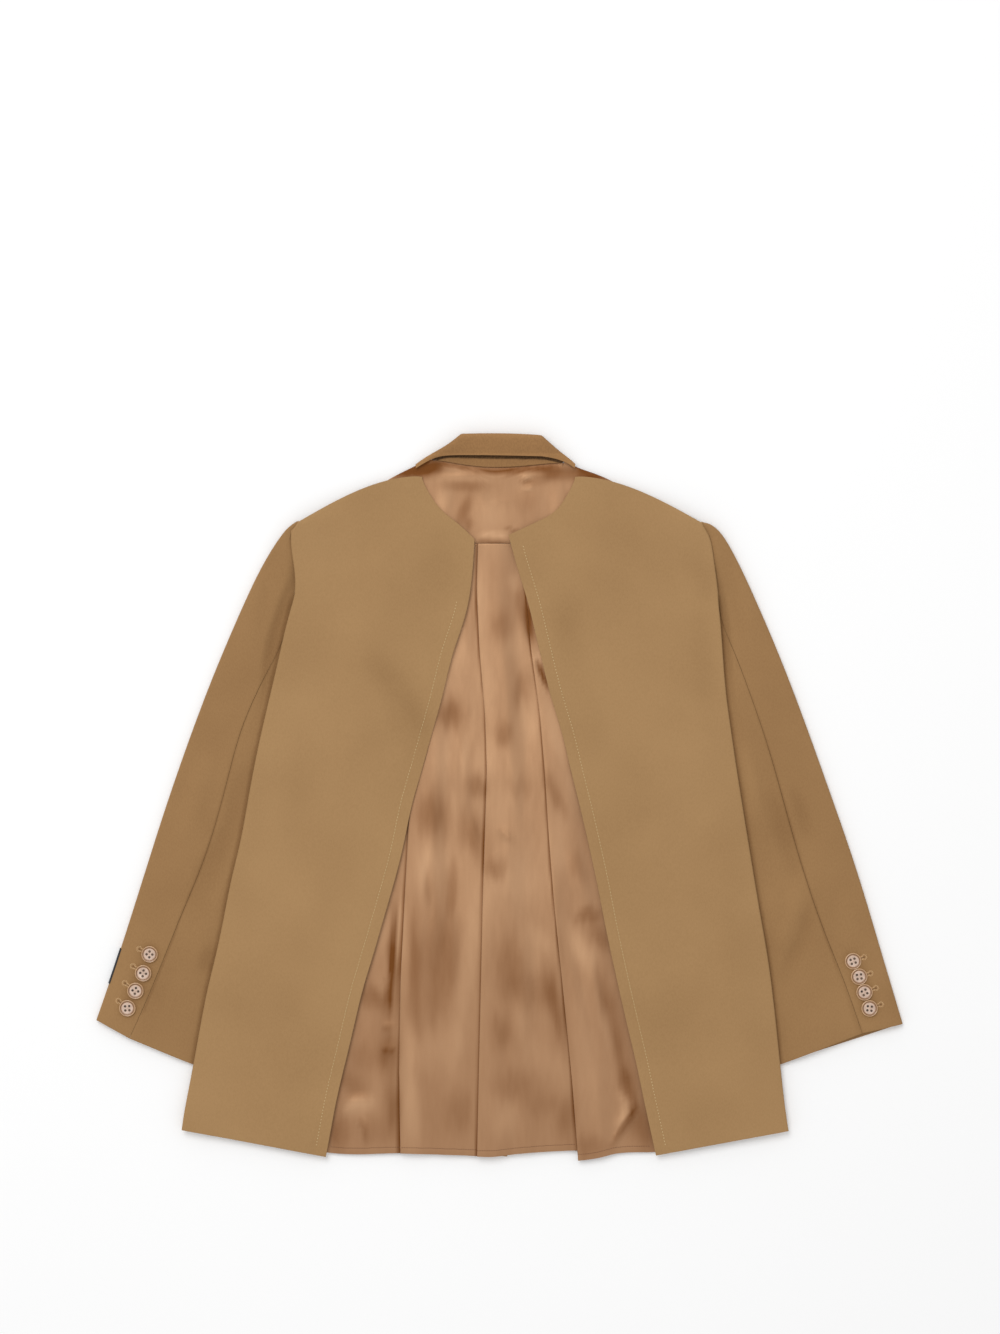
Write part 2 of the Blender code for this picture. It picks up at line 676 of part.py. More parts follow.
def make_under_sleeve(name, body, sleeve, material):
    """Under sleeve: elbow seam to the tucked inner edge, and under it to the forearm seam."""
    upper, lower, elbow, forearm = sleeve_frame(body, sleeve)
    inner = curve_through([(row.inner_x, row.inner_y) for row in sleeve], SLEEVE_STEPS)
    radius = SLEEVE_INNER_RADIUS
    grid = []
    for k in range(len(upper)):
        seam = upper[k][-1]
        toward = (inner[k] - seam) / np.linalg.norm(inner[k] - seam)
        clear = SEAM_GAP / 2 if k > 1 else ARMPIT_CLEARANCE / (1 + k)
        start = seam - elbow[k] * clear
        centre = inner[k] - toward * (radius + WOOL / 2)
        section = start + np.outer(UNDER_SLEEVE_COLUMNS, centre - start)
        x, y = section[:, 0], section[:, 1]
        z = sleeve_level(body, x, y)
        z[-1] = TUCKED_LEVEL
        points = [tuple(point) for point in np.column_stack((x, y, z))]
        for step in range(1, 4):
            angle = math.pi * step / 4
            place = centre + toward * radius * math.sin(angle)
            points.append((*place, FLOOR_LEVEL + radius * (1 + math.cos(angle))))
        seam_below = lower[k][-1] - forearm[k] * clear
        for share in (0.0, 0.5, 1.0):
            points.append((*(centre + (seam_below - centre) * share), FLOOR_LEVEL))
        grid.append(points)
    return cloth_wall(name, grid, WOOL, material)


def pleat_section(folds, left, right):
    """One section of the skirt as (x, layer height, flap share) for each point."""
    radius = PLEAT_LAYER / 2
    points = []
    start = left
    for number, fold in enumerate(folds):
        flap = 1.0 if number == len(folds) - 1 else 0.0
        turn_x = fold + PLEAT_DEPTH
        first_share = 0.0 if number == 0 else PLEAT_PANEL_START
        for share in np.linspace(first_share, 1.0, 7 if number == 0 else 6):
            points.append((start + (turn_x - start) * share, 0.0, 0.0))
        for angle in (-45, 0, 45):
            lean = math.radians(angle)
            points.append((turn_x + radius * math.cos(lean), radius * (1 + math.sin(lean)), 0.0))
        points.append((turn_x, PLEAT_LAYER, FLAP_AT_TURN * flap))
        back_x = fold + SATIN / 2 + radius
        points.append((back_x + PLEAT_INSIDE_BEND, PLEAT_LAYER, FLAP_AT_BEND * flap))
        points.append((back_x, PLEAT_LAYER, flap))
        for angle in (-45, 0, 45):
            lean = math.radians(angle)
            points.append((back_x - radius * math.cos(lean), PLEAT_LAYER + radius * (1 + math.sin(lean)), flap))
        points.append((back_x, 2 * PLEAT_LAYER, flap))
        for point in PLEAT_POINTS:
            points.append((turn_x + point.run, point.layer * PLEAT_LAYER, flap))
        start = turn_x + PLEAT_POINTS[-1].run
    for share in (0.25, 0.5, 0.75, 1.0):
        points.append((start + (right - start) * share, 0.0, 1.0))
    return points


def flutes(x, y):
    """Soft standing waves of the satin where it shows in the opening."""
    inside = np.minimum(x - opening_edge(LEFT_BODY, y), opening_edge(RIGHT_BODY, y) - x)
    growth = FLUTE_LEAST + (1 - FLUTE_LEAST) * smooth(*FLUTE_ALONG, y)
    wave = 1 + np.sin(2 * math.pi * (x + FLUTE_LEAN * y) / FLUTE_SPACING)
    return FLUTE_HEIGHT * smooth(*FLUTE_FROM_EDGE, inside) * growth * wave


def make_lining_skirt(name, material):
    """Pleated satin back: three pleats whose folds face the left, hanging free at the hem."""
    grid = []
    left_hem, right_hem = SKIRT_HEM_HALF_WIDTH
    for share in SKIRT_SECTIONS:
        level = YOKE_SEAM_Y - SEAM_GAP + share * (SKIRT_HEM_LEVEL - YOKE_SEAM_Y)
        folds = [lookup(PLEATS, level, "y", pleat) for pleat in ("left", "middle", "right")]
        left = -YOKE_HALF_WIDTH + share * (left_hem + YOKE_HALF_WIDTH)
        right = YOKE_HALF_WIDTH + share * (right_hem - YOKE_HALF_WIDTH)
        row = []
        for x, height, flap in pleat_section(folds, left, right):
            drop = RIGHT_FLAP_DROP * flap * (1 - smooth(0, RIGHT_FLAP_LENGTH, x - folds[2]))
            hem = lookup(SKIRT_HEM, x, "x", "y") - drop
            y = YOKE_SEAM_Y - SEAM_GAP + share * (hem - YOKE_SEAM_Y)
            row.append((x, y, lining_level(x, y) + height + flutes(x, y)))
        grid.append(row)
    return cloth_wall(name, grid, SATIN, material)


def make_lining_yoke(name, material):
    """Satin yoke between the collar stand and the pleats, running on under the wool."""
    grid = []
    for share in YOKE_SECTIONS:
        row = []
        for station in YOKE_TOP:
            y = YOKE_SEAM_Y + share * (station.y - YOKE_SEAM_Y)
            row.append((station.x, y, lining_level(station.x, y) - YOKE_DROP))
        grid.append(row)
    return cloth_wall(name, grid, SATIN, material)


def collar_rise(x):
    """Share of the collar's full roll, which dies away where it turns to the front."""
    return float(smooth(*COLLAR_LEFT_END, x) * smooth(*COLLAR_RIGHT_END, x))


def collar_radius(x):
    """Radius of the roll's mid surface at a station."""
    return COLLAR_END_RADIUS + (COLLAR_ROLL_RADIUS - COLLAR_END_RADIUS) * collar_rise(x)


def roll_centre_y(x):
    """Level at which the roll's centre lies at a station."""
    return float(lookup(COLLAR, x, "x", "top_y")) - collar_radius(x) - WOOL / 2


def stand_top_level(x):
    """Mid surface of the stand where it enters the roll."""
    return STAND_TOP_LEVEL + STAND_TOP_RISE * collar_rise(x)


def make_collar_stand(name, material):
    """Collar stand: from the yoke's seam up into the roll of the fall."""
    grid = []
    for share in STAND_SECTIONS:
        row = []
        for station in STAND:
            low = lining_level(station.x, station.seam_y) - YOKE_DROP + STAND_STEP
            top_y = roll_centre_y(station.x) - COLLAR_UNDER_RUN - 2 * SEAM_GAP
            y = station.seam_y + share * (top_y - station.seam_y)
            row.append((station.x, y, low + share * (stand_top_level(station.x) - low)))
        grid.append(row)
    return cloth_wall(name, grid, WOOL, material)


def make_collar_fall(name, material):
    """Collar fall: from its free edge up over the roll and down behind to the stand."""
    grid = []
    for station in COLLAR:
        rise = collar_rise(station.x)
        radius = collar_radius(station.x)
        under = stand_top_level(station.x)
        crown = under + 2 * radius
        centre_y = roll_centre_y(station.x)
        free_y = min(station.free_y, centre_y - FALL_LEAST_RUN)
        free_z = crown - FALL_END_SINK - FALL_SINK * rise
        row = []
        for share in FALL_COLUMNS:
            bend = math.sin(share * math.pi / 2)
            row.append((station.x, free_y + (centre_y - free_y) * share, free_z + (crown - free_z) * bend))
        for step in range(COLLAR_ROLL_STEPS + 1):
            angle = math.pi * step / COLLAR_ROLL_STEPS
            row.append((station.x, centre_y + radius * math.sin(angle), under + radius * (1 + math.cos(angle))))
        row.append((station.x, centre_y - COLLAR_UNDER_RUN, under))
        grid.append(row)
    return cloth_wall(name, grid, WOOL, material)


def make_sleeve_label(name, material):
    """Blank label round the left sleeve's outer edge."""
    outer = curve_through([(row.outer_x, row.outer_y) for row in LEFT_SLEEVE], 12)
    normals = edge_normals(outer, -1)
    radius = SLEEVE_EDGE_RADIUS + WOOL / 2 + SEAM_GAP + LABEL_TAPE / 2
    top, bottom = LABEL_Y
    grid = []
    for y in np.linspace(top, bottom, 5):
        along = [np.interp(-y, -outer[:, 1], column) for column in (outer[:, 0], normals[:, 0], normals[:, 1])]
        across = np.array(along[1:]) / np.hypot(*along[1:])
        centre = np.array([along[0], y]) - across * (SLEEVE_EDGE_RADIUS + WOOL / 2)
        row = []
        for angle in np.radians(np.linspace(*LABEL_ANGLES, 7)):
            place = centre + across * radius * math.sin(angle)
            row.append((*place, FLOOR_LEVEL + SLEEVE_EDGE_RADIUS + radius * math.cos(angle)))
        grid.append(row)
    return cloth_wall(name, grid, LABEL_TAPE, material)


def button_mesh(material):
    """Four-hole button with a rounded rim and a dished face, on its own underside."""
    bm = bmesh.new()
    rings = []
    for share, height in BUTTON_RINGS:
        radius = share * BUTTON_DIAMETER / 2
        ring = []
        for side in range(BUTTON_SIDES):
            angle = 2 * math.pi * side / BUTTON_SIDES
            ring.append(bm.verts.new((radius * math.cos(angle), radius * math.sin(angle), height)))
        rings.append(ring)
    for low, high in zip(rings, rings[1:]):
        for side in range(BUTTON_SIDES):
            following = (side + 1) % BUTTON_SIDES
            bm.faces.new((low[side], low[following], high[following], high[side]))
    bm.faces.new(rings[0][::-1])
    bm.faces.new(rings[-1])
    blank = add_object("button_blank", bm, material)
    cutters = []
    for along, across in ((1, 1), (1, -1), (-1, 1), (-1, -1)):
        hole = bmesh.new()
        bmesh.ops.create_cone(
            hole,
            cap_ends=True,
            segments=6,
            radius1=BUTTON_HOLE_DIAMETER / 2,
            radius2=BUTTON_HOLE_DIAMETER / 2,
            depth=8.0,
        )
        bmesh.ops.translate(
            hole,
            vec=(along * BUTTON_HOLE_PITCH / 2, across * BUTTON_HOLE_PITCH / 2, 1.0),
            verts=hole.verts,
        )
        cutter = add_object("button_hole_cutter", hole, material)
        cutter.hide_render = True
        cutter.display_type = "WIRE"
        cut = blank.modifiers.new("thread_hole", "BOOLEAN")
        cut.operation = "DIFFERENCE"
        cut.solver = "EXACT"
        cut.object = cutter
        cutters.append(cutter)
    graph = bpy.context.evaluated_depsgraph_get()
    mesh = bpy.data.meshes.new_from_object(blank.evaluated_get(graph))
    mesh.name = "sleeve_button"
    for spare in cutters + [blank]:
        bpy.data.objects.remove(spare, do_unlink=True)
    return mesh


def make_buttons(material):
    """Four buttons on each cuff, flat on the sleeve, each its own object."""
    mesh = button_mesh(material)
    for side, body, centres in (("left", LEFT_BODY, LEFT_BUTTONS), ("right", RIGHT_BODY, RIGHT_BUTTONS)):
        for number, (x, y) in enumerate(centres, start=1):
            button = bpy.data.objects.new(f"cuff_button_{side}_{number}", mesh)
            seat = float(sleeve_level(body, x, y)) + WOOL / 2 + SEAM_GAP
            button.location = (x * MM, y * MM, seat * MM)
            bpy.context.scene.collection.objects.link(button)


def main():
    for leftover in list(bpy.data.objects):
        bpy.data.objects.remove(leftover, do_unlink=True)
    wool = make_material("wool_twill_camel", srgb(163, 128, 87), 0.85)
    wool_sleeve = make_material("wool_twill_sleeve", srgb(158, 122, 83), 0.85)
    wool_collar = make_material("wool_twill_collar", srgb(154, 114, 76), 0.85)
    satin = make_material("satin_lining_copper", srgb(174, 132, 97), 0.35)
    horn = make_material("button_pale_horn", srgb(214, 184, 164), 0.3)
    tape = make_material("label_black_tape", srgb(26, 26, 28), 0.6)

    make_front("front_right", RIGHT_BODY, False, wool)
    make_front("front_left", LEFT_BODY, True, wool)
    make_back("back_left", LEFT_BODY, wool)
    make_back("back_right", RIGHT_BODY, wool)
    make_top_sleeve("top_sleeve_left", LEFT_BODY, LEFT_SLEEVE, wool_sleeve)
    make_top_sleeve("top_sleeve_right", RIGHT_BODY, RIGHT_SLEEVE, wool_sleeve)
    make_under_sleeve("under_sleeve_left", LEFT_BODY, LEFT_SLEEVE, wool_sleeve)
    make_under_sleeve("under_sleeve_right", RIGHT_BODY, RIGHT_SLEEVE, wool_sleeve)
    make_lining_yoke("lining_yoke", satin)
    make_lining_skirt("lining_skirt", satin)
    make_collar_stand("collar_stand", wool_collar)
    make_collar_fall("collar_fall", wool_collar)
    flat_piece("lapel_left", LAPEL_CORNERS, LAPEL_WALL, wool_collar)
    flat_piece("lapel_right", [(-x, y) for x, y in LAPEL_CORNERS], LAPEL_WALL, wool_collar)
    flat_piece("collar_end_left", COLLAR_END_CORNERS, LAPEL_WALL, wool_collar)
    flat_piece("collar_end_right", [(-x, y) for x, y in COLLAR_END_CORNERS], LAPEL_WALL, wool_collar)
    make_buttons(horn)
    make_sleeve_label("sleeve_label", tape)


main()
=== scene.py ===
"""Camel wool blazer that lies face down, with its back open over a satin lining.

Every cloth piece is a finer copy of its solid's form: its wall subdivided, its edges
rounded, and its folds pressed in from the tables below, in millimetres. X runs across the
garment, Y from the hem to the collar, Z up. Left and right are the wearer's.
"""
import json
import math
from collections import namedtuple

import bmesh
import bpy
import numpy as np
from bpy.props import FloatProperty, FloatVectorProperty, IntProperty, PointerProperty
from mathutils import Matrix, Vector, noise
from mathutils.bvhtree import BVHTree

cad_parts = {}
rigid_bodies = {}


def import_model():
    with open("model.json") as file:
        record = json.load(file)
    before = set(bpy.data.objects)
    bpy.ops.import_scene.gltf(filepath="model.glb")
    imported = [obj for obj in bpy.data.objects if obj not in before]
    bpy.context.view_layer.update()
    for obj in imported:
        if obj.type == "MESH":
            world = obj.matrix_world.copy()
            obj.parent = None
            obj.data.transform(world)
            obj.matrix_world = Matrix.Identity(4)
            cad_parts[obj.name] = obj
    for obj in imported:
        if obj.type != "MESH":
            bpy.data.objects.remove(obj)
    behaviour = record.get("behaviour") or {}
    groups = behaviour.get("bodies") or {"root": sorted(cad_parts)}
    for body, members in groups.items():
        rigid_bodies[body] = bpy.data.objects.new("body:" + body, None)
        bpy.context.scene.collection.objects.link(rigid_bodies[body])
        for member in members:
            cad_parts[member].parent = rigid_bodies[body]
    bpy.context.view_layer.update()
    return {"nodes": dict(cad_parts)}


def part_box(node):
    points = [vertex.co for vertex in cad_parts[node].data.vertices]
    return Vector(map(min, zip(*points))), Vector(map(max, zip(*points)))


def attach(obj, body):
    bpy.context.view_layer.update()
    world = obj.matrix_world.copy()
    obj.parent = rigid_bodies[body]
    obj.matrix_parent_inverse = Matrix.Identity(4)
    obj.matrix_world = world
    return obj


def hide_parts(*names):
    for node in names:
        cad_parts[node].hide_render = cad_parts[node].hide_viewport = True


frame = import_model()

bl_info = {
    "name": "Open-backed blazer",
    "version": (1, 0, 0),
    "blender": (4, 5, 0),
    "location": "View3D > Sidebar > Blazer",
    "description": "Cloth, stitching, buttons and studio for a blazer laid face down",
    "category": "Object",
}

MM = 0.001
PHOTO_PIXEL = 1.1

# One row for each soft fold: the line it follows, how far it reaches to each side, how
# high it stands or how deep it sinks, how much steeper its left side is, and the painted
# shade along it, dark above 0, with a painted highlight below 0.
Fold = namedtuple("Fold", "path width height lean shade", defaults=(0.0, 0.0))

BACK_FOLDS = [
    Fold([(-70, 300), (-110, 262), (-150, 200)], 40, 1.2, 0.0, -0.1),
    Fold([(-150, 170), (-110, 129), (-80, 40)], 34, -0.5, 0.0, 0.55),
    Fold([(-205, 160), (-180, 60), (-190, -60)], 45, 1.6, 0.2, -0.15),
    Fold([(-235, 110), (-240, 0), (-262, -120)], 26, 1.3, 0.0, -0.1),
    Fold([(-140, -60), (-165, -160), (-200, -300)], 46, 1.5, 0.0, -0.15),
    Fold([(-250, -90), (-280, -200), (-300, -330)], 40, 1.2, -0.2, 0.2),
    Fold([(70, 300), (105, 258), (130, 190)], 38, 1.2, 0.0, -0.1),
    Fold([(60, 235), (75, 190), (90, 120)], 26, -0.4, 0.0, 0.3),
    Fold([(205, 275), (225, 240), (236, 205)], 24, -0.8, 0.0, 0.45),
    Fold([(190, 190), (205, 70), (200, -60)], 48, 1.7, -0.2, -0.15),
    Fold([(120, 60), (135, -60), (160, -180)], 40, 1.1, 0.0, -0.1),
    Fold([(240, -20), (262, -160), (280, -320)], 34, 1.3, 0.1, 0.2),
    Fold([(150, -200), (190, -290), (205, -380)], 40, 1.0, 0.0, 0.1),
]

SLEEVE_FOLDS = [
    Fold(
        [(-221, 268), (-226, 240), (-238, 208), (-247, 182), (-255, 146), (-258, 96)], 11, -2.0, 0.1, 0.85
    ),
    Fold([(-262, 262), (-275, 205), (-283, 150)], 17, 1.8, 0.0, -0.2),
    Fold([(-288, 60), (-290, 15), (-296, -32), (-330, -92), (-345, -130)], 20, -1.9, 0.3, 0.6),
    Fold([(-318, 60), (-335, 0), (-352, -55)], 18, 1.5, 0.0, -0.3),
    Fold([(-272, 10), (-290, -60), (-318, -150)], 16, 1.3, 0.0, -0.2),
    Fold([(-345, -150), (-372, -205), (-395, -262)], 18, -0.9, 0.0, 0.25),
    Fold([(-392, -120), (-412, -190), (-430, -250)], 16, 0.9, 0.0, -0.15),
    Fold([(232, 262), (241, 222), (247, 186), (250, 140), (254, 92)], 10, -2.0, -0.1, 0.85),
    Fold([(262, 258), (274, 205), (283, 160)], 16, 1.7, 0.0, -0.2),
    Fold([(262, 70), (276, 15), (280, -40)], 15, 1.9, 0.0, -0.35),
    Fold([(292, 40), (302, -4), (325, -76), (338, -112)], 17, -1.9, 0.0, 0.6),
    Fold([(318, 20), (331, -14), (343, -52)], 13, -1.0, 0.0, 0.5),
    Fold([(352, -92), (344, -114), (331, -156), (302, -214)], 12, -1.5, 0.3, 0.4),
    Fold([(338, -70), (322, -130), (296, -190)], 12, 1.3, 0.0, -0.2),
    Fold([(372, -100), (384, -160), (402, -230)], 18, 1.0, 0.0, -0.15),
]

SATIN_FOLDS = [
    Fold([(-46, 80), (-42, 40), (-40, -30)], 9, 1.3, 0.4),
    Fold([(-36, 226), (-36, 192), (-37, 160)], 4, 0.9, 0.3, 0.3),
    Fold([(-62, 196), (-58, 140), (-66, 96)], 13, 1.0),
    Fold([(-80, 60), (-72, 10), (-60, -40)], 15, -0.5),
    Fold([(-36, 10), (-24, -26), (-14, -62)], 11, -0.6, 0.2, 0.1),
    Fold([(-82, -30), (-70, -120), (-88, -220)], 16, 1.2, 0.3),
    Fold([(-48, -70), (-42, -170), (-46, -300)], 14, 1.4, 0.2),
    Fold([(-4, 190), (8, 120), (6, 60)], 16, 0.8),
    Fold([(20, 60), (22, -10), (30, -80)], 18, 1.2, 0.2),
    Fold([(-6, -32), (6, -42), (20, -54)], 5, 0.9, 0.4, 0.25),
    Fold([(34, -120), (40, -190), (52, -270)], 15, -0.4),
    Fold([(18, -130), (24, -220), (14, -330)], 13, 1.0, 0.2),
    Fold([(58, -60), (62, -160), (70, -270)], 9, 1.0),
    Fold([(40, 156), (45, 138), (56, 112)], 6, -1.3, 0.3, 2.4),
    Fold([(35, 148), (43, 156), (51, 140)], 5, 1.8, 0.2, -0.9),
    Fold([(30, 222), (33, 190), (38, 160)], 8, -0.6, 0.0, 1.8),
    Fold([(76, -50), (88, -96), (104, -130)], 13, 1.4, 0.2),
    Fold([(66, -150), (82, -210), (96, -300)], 12, 1.5),
    Fold([(98, -170), (110, -240), (126, -300)], 11, 1.4, -0.2),
    Fold([(144, -316), (147, -342), (133, -366), (117, -390)], 6, 2.4, 0.5, 1.3),
    Fold([(128, -322), (139, -336), (137, -352), (124, -368)], 7, 1.8, 0.0, -0.9),
    Fold([(-115, -90), (-117, -160), (-122, -250)], 5, -1.0, 0.3, 1.2),
    Fold([(-109, -100), (-110, -160), (-111, -220)], 4, 0.8, 0.0, -0.6),
    Fold([(-134, -250), (-124, -256), (-114, -254)], 4, 1.2, 0.3, 0.5),
    Fold([(-132, -276), (-122, -283), (-113, -276)], 4, 1.2, 0.3, 0.7),
    Fold([(-174, -352), (-160, -336), (-138, -334)], 8, 1.9, 0.2, -0.8),
    Fold([(-158, -346), (-150, -364), (-148, -386)], 6, 1.2, 0.2, 0.6),
    Fold([(-180, -350), (-183, -372), (-180, -388)], 6, 0.8, 0.0, 0.4),
    Fold([(-100, -250), (-98, -320), (-96, -384)], 12, 1.2, 0.2, -0.2),
    Fold([(-66, -270), (-62, -330), (-58, -388)], 10, -0.5, 0.0, 0.1),
    Fold([(0, -300), (12, -350), (6, -390)], 12, 1.0),
]

# The yoke's first two folds are only painted shadow beside the collar fall's ends.
YOKE_FOLDS = [
    Fold([(-96, 361), (-86, 366), (-72, 373)], 2.4, 0.0, 0.0, 2.4),
    Fold([(62, 377), (74, 371), (84, 364), (92, 359)], 2.6, 0.0, 0.0, 2.4),
    Fold([(20, 357), (28, 351), (38, 353)], 4, 1.1, 0.2, -0.6),
    Fold([(18, 350), (28, 346), (40, 348)], 4, -0.6, 0.2, 0.8),
    Fold([(22, 341), (30, 338), (40, 340)], 3.5, 0.7, 0.2, -0.5),
    Fold([(-60, 352), (-30, 357), (0, 352)], 8, 0.8, 0.0, -0.3),
    Fold([(-40, 330), (-10, 322), (24, 330)], 9, 0.6),
    Fold([(60, 350), (66, 322), (60, 296)], 12, 0.7),
    Fold([(-70, 352), (-60, 330), (-62, 304)], 11, 0.7),
    Fold([(-26, 288), (-8, 289), (10, 288)], 4, 0.8, 0.0, -0.6),
    Fold([(3, 297), (12, 294), (24, 291)], 3.5, -0.6, 0.0, 1.0),
    Fold([(-28, 281.5), (-8, 280.5), (16, 281)], 3, -0.4, 0.0, 1.6),
]

# One row for each level of the satin skirt: where its three pleat folds lie.
PleatRow = namedtuple("PleatRow", "y left middle right")
PLEATS = [
    PleatRow(279, -92, -24, 25),
    PleatRow(215, -93, -26, 29.5),
    PleatRow(157, -94, -22, 35),
    PleatRow(112, -95, -17, 42.5),
    PleatRow(24, -98, -14, 50),
    PleatRow(-77, -102.5, -18, 56),
    PleatRow(-171, -108.5, -20, 66),
    PleatRow(-298, -111, -23, 79),
    PleatRow(-400, -109, -25, 87),
]

# One row for each soft patch of painted light or shade, standing in for the satin's gloss:
# its middle, its half width and half length, its painted shade, dark above 0 and bright
# below, and how far it leans to the right at its top, in degrees.
PaintedLightPatch = namedtuple("PaintedLightPatch", "x y half_width half_length shade lean", defaults=(0,))

SATIN_PAINTED_LIGHT = [
    PaintedLightPatch(-5, 250, 18, 19, 0.2),
    PaintedLightPatch(-20, 213, 5, 40, -0.4),
    PaintedLightPatch(17, 238, 8, 9, -0.5, -20),
    PaintedLightPatch(26, 208, 9, 32, 0.95, -8),
    PaintedLightPatch(0, 186, 11, 19, 0.7),
    PaintedLightPatch(17, 168, 12, 16, -0.35),
    PaintedLightPatch(-14, 130, 11, 40, -0.4),
    PaintedLightPatch(24, 118, 10, 19, 0.8, 12),
    PaintedLightPatch(4, 70, 10, 16, 1),
    PaintedLightPatch(34, 84, 11, 26, -0.5),
    PaintedLightPatch(-9, 44, 9, 22, -0.4),
    PaintedLightPatch(22, 12, 17, 13, 0.4),
    PaintedLightPatch(0, -10, 16, 20, -0.3),
    PaintedLightPatch(23, -87, 34, 46, -0.45),
    PaintedLightPatch(-4, -78, 12, 13, 0.9, 25),
    PaintedLightPatch(38, -166, 15, 28, -0.4, -10),
    PaintedLightPatch(-12, -125, 9, 40, -0.3),
    PaintedLightPatch(11, -186, 16, 36, 0.8),
    PaintedLightPatch(-8, -170, 6.5, 43, 0.2),
    PaintedLightPatch(36, -212, 28, 19, 0.55),
    PaintedLightPatch(60, -225, 7.5, 43, 0.85, -10),
    PaintedLightPatch(3, -258, 15, 20, 0.65),
    PaintedLightPatch(24, -252, 9, 22, -0.3),
    PaintedLightPatch(40, -286, 18, 22, -0.35),
    PaintedLightPatch(15, -318, 23, 19, 0.55, -20),
    PaintedLightPatch(6, -350, 20, 26, -0.45),
    PaintedLightPatch(46, -338, 18, 15, 0.4),
    PaintedLightPatch(68, -306, 10, 26, -0.4, -8),
    PaintedLightPatch(74, -352, 10, 26, 0.7),
    PaintedLightPatch(-51, 147, 15, 34, -0.45, 12),
    PaintedLightPatch(-31, 195, 3, 32, 0.4),
    PaintedLightPatch(-53, 90, 16, 17, 0.95, 16),
    PaintedLightPatch(-30, 95, 6.5, 30, -0.2),
    PaintedLightPatch(-62, 46, 10, 32, -0.5, 6),
    PaintedLightPatch(-38, 48, 3.5, 22, -0.45),
    PaintedLightPatch(-22, 42, 6.5, 16, -0.35),
    PaintedLightPatch(-25, 12, 12, 14, 1),
    PaintedLightPatch(-75, -20, 19, 22, 0.7),
    PaintedLightPatch(-32, -38, 14, 26, 0.9, -20),
    PaintedLightPatch(-47, -18, 5.5, 24, -0.4, -8),
    PaintedLightPatch(-80, -72, 13, 24, -0.6, 4),
    PaintedLightPatch(-58, -66, 9, 20, -0.35),
    PaintedLightPatch(-76, -96, 5, 24, 0.7, 4),
    PaintedLightPatch(-52, -100, 6.5, 28, 0.85, 4),
    PaintedLightPatch(-66, -178, 27, 54, 1),
    PaintedLightPatch(-94, -190, 7.5, 64, 0.85),
    PaintedLightPatch(-84, -240, 18, 28, 0.4, 14),
    PaintedLightPatch(-34, -180, 10, 96, -0.65, 8),
    PaintedLightPatch(-58, -280, 16, 34, -0.35, 24),
    PaintedLightPatch(-100, -290, 9, 50, -0.4),
    PaintedLightPatch(-78, -300, 16, 28, 0.2),
    PaintedLightPatch(-44, -344, 13, 28, 0.6),
    PaintedLightPatch(-62, -352, 13, 22, 0.2),
    PaintedLightPatch(-96, -350, 10, 36, -0.5),
    PaintedLightPatch(63, 70, 9, 36, -0.55, -18),
    PaintedLightPatch(61, 4, 8, 26, 0.9, -22),
    PaintedLightPatch(84, 4, 5.5, 24, -0.35, -20),
    PaintedLightPatch(62, -50, 11, 36, -0.4, -8),
    PaintedLightPatch(86, -74, 10, 19, 0.4, -20),
    PaintedLightPatch(98, -130, 18, 8.5, 1, -20),
    PaintedLightPatch(109, -152, 10, 19, 0.95, -25),
    PaintedLightPatch(90, -168, 10, 40, -0.55, -32),
    PaintedLightPatch(114, -208, 10, 28, 0.6, -24),
    PaintedLightPatch(126, -246, 10, 32, 0.6, -16),
    PaintedLightPatch(133, -288, 9, 34, 0.95, -10),
    PaintedLightPatch(94, -286, 15, 72, -0.45, -6),
    PaintedLightPatch(118, -262, 5.5, 50, -0.35, -14),
    PaintedLightPatch(141, -318, 9, 17, 0.85, -10),
    PaintedLightPatch(157, -362, 13, 26, 0.95, -12),
    PaintedLightPatch(100, -384, 18, 13, 0.6),
    PaintedLightPatch(-119, -190, 6, 47, 1.65, 3),
    PaintedLightPatch(-108, -150, 4.5, 30, -0.45),
    PaintedLightPatch(-128, -150, 9, 30, -0.35, 20),
    PaintedLightPatch(-126, -236, 10, 30, 0.35, 10),
    PaintedLightPatch(-139, -222, 18, 12, 0.85, 20),
    PaintedLightPatch(-146, -252, 16, 19, 0.15, 16),
    PaintedLightPatch(-123, -284, 12, 22, 1),
    PaintedLightPatch(-150, -288, 16, 17, 0.4, 16),
    PaintedLightPatch(-162, -316, 18, 13, 0.7, 24),
    PaintedLightPatch(-118, -345, 10, 32, 0.95),
    PaintedLightPatch(-139, -368, 12, 19, 0.6),
    PaintedLightPatch(-154, -341, 15, 8, -0.8, -16),
    PaintedLightPatch(-176, -372, 13, 19, 0.7, 14),
    PaintedLightPatch(-72, -14, 20, 33, 0.4, -8),
    PaintedLightPatch(8, 205, 16, 28, 0.3),
    PaintedLightPatch(-19, -58, 11, 30, 0.4, -22),
    PaintedLightPatch(-59, 93, 14, 22, 0.35),
    PaintedLightPatch(-77, -83, 14, 25, -0.35, 5),
    PaintedLightPatch(15, -92, 27, 22, -0.25),
    PaintedLightPatch(47, -158, 9, 21, -0.4, -40),
    PaintedLightPatch(59, -244, 9, 33, 0.35, -10),
    PaintedLightPatch(-81, -280, 14, 23, -0.3),
    PaintedLightPatch(89, -175, 12, 22, -0.35, -25),
    PaintedLightPatch(-143, -285, 21, 27, 0.25),
]

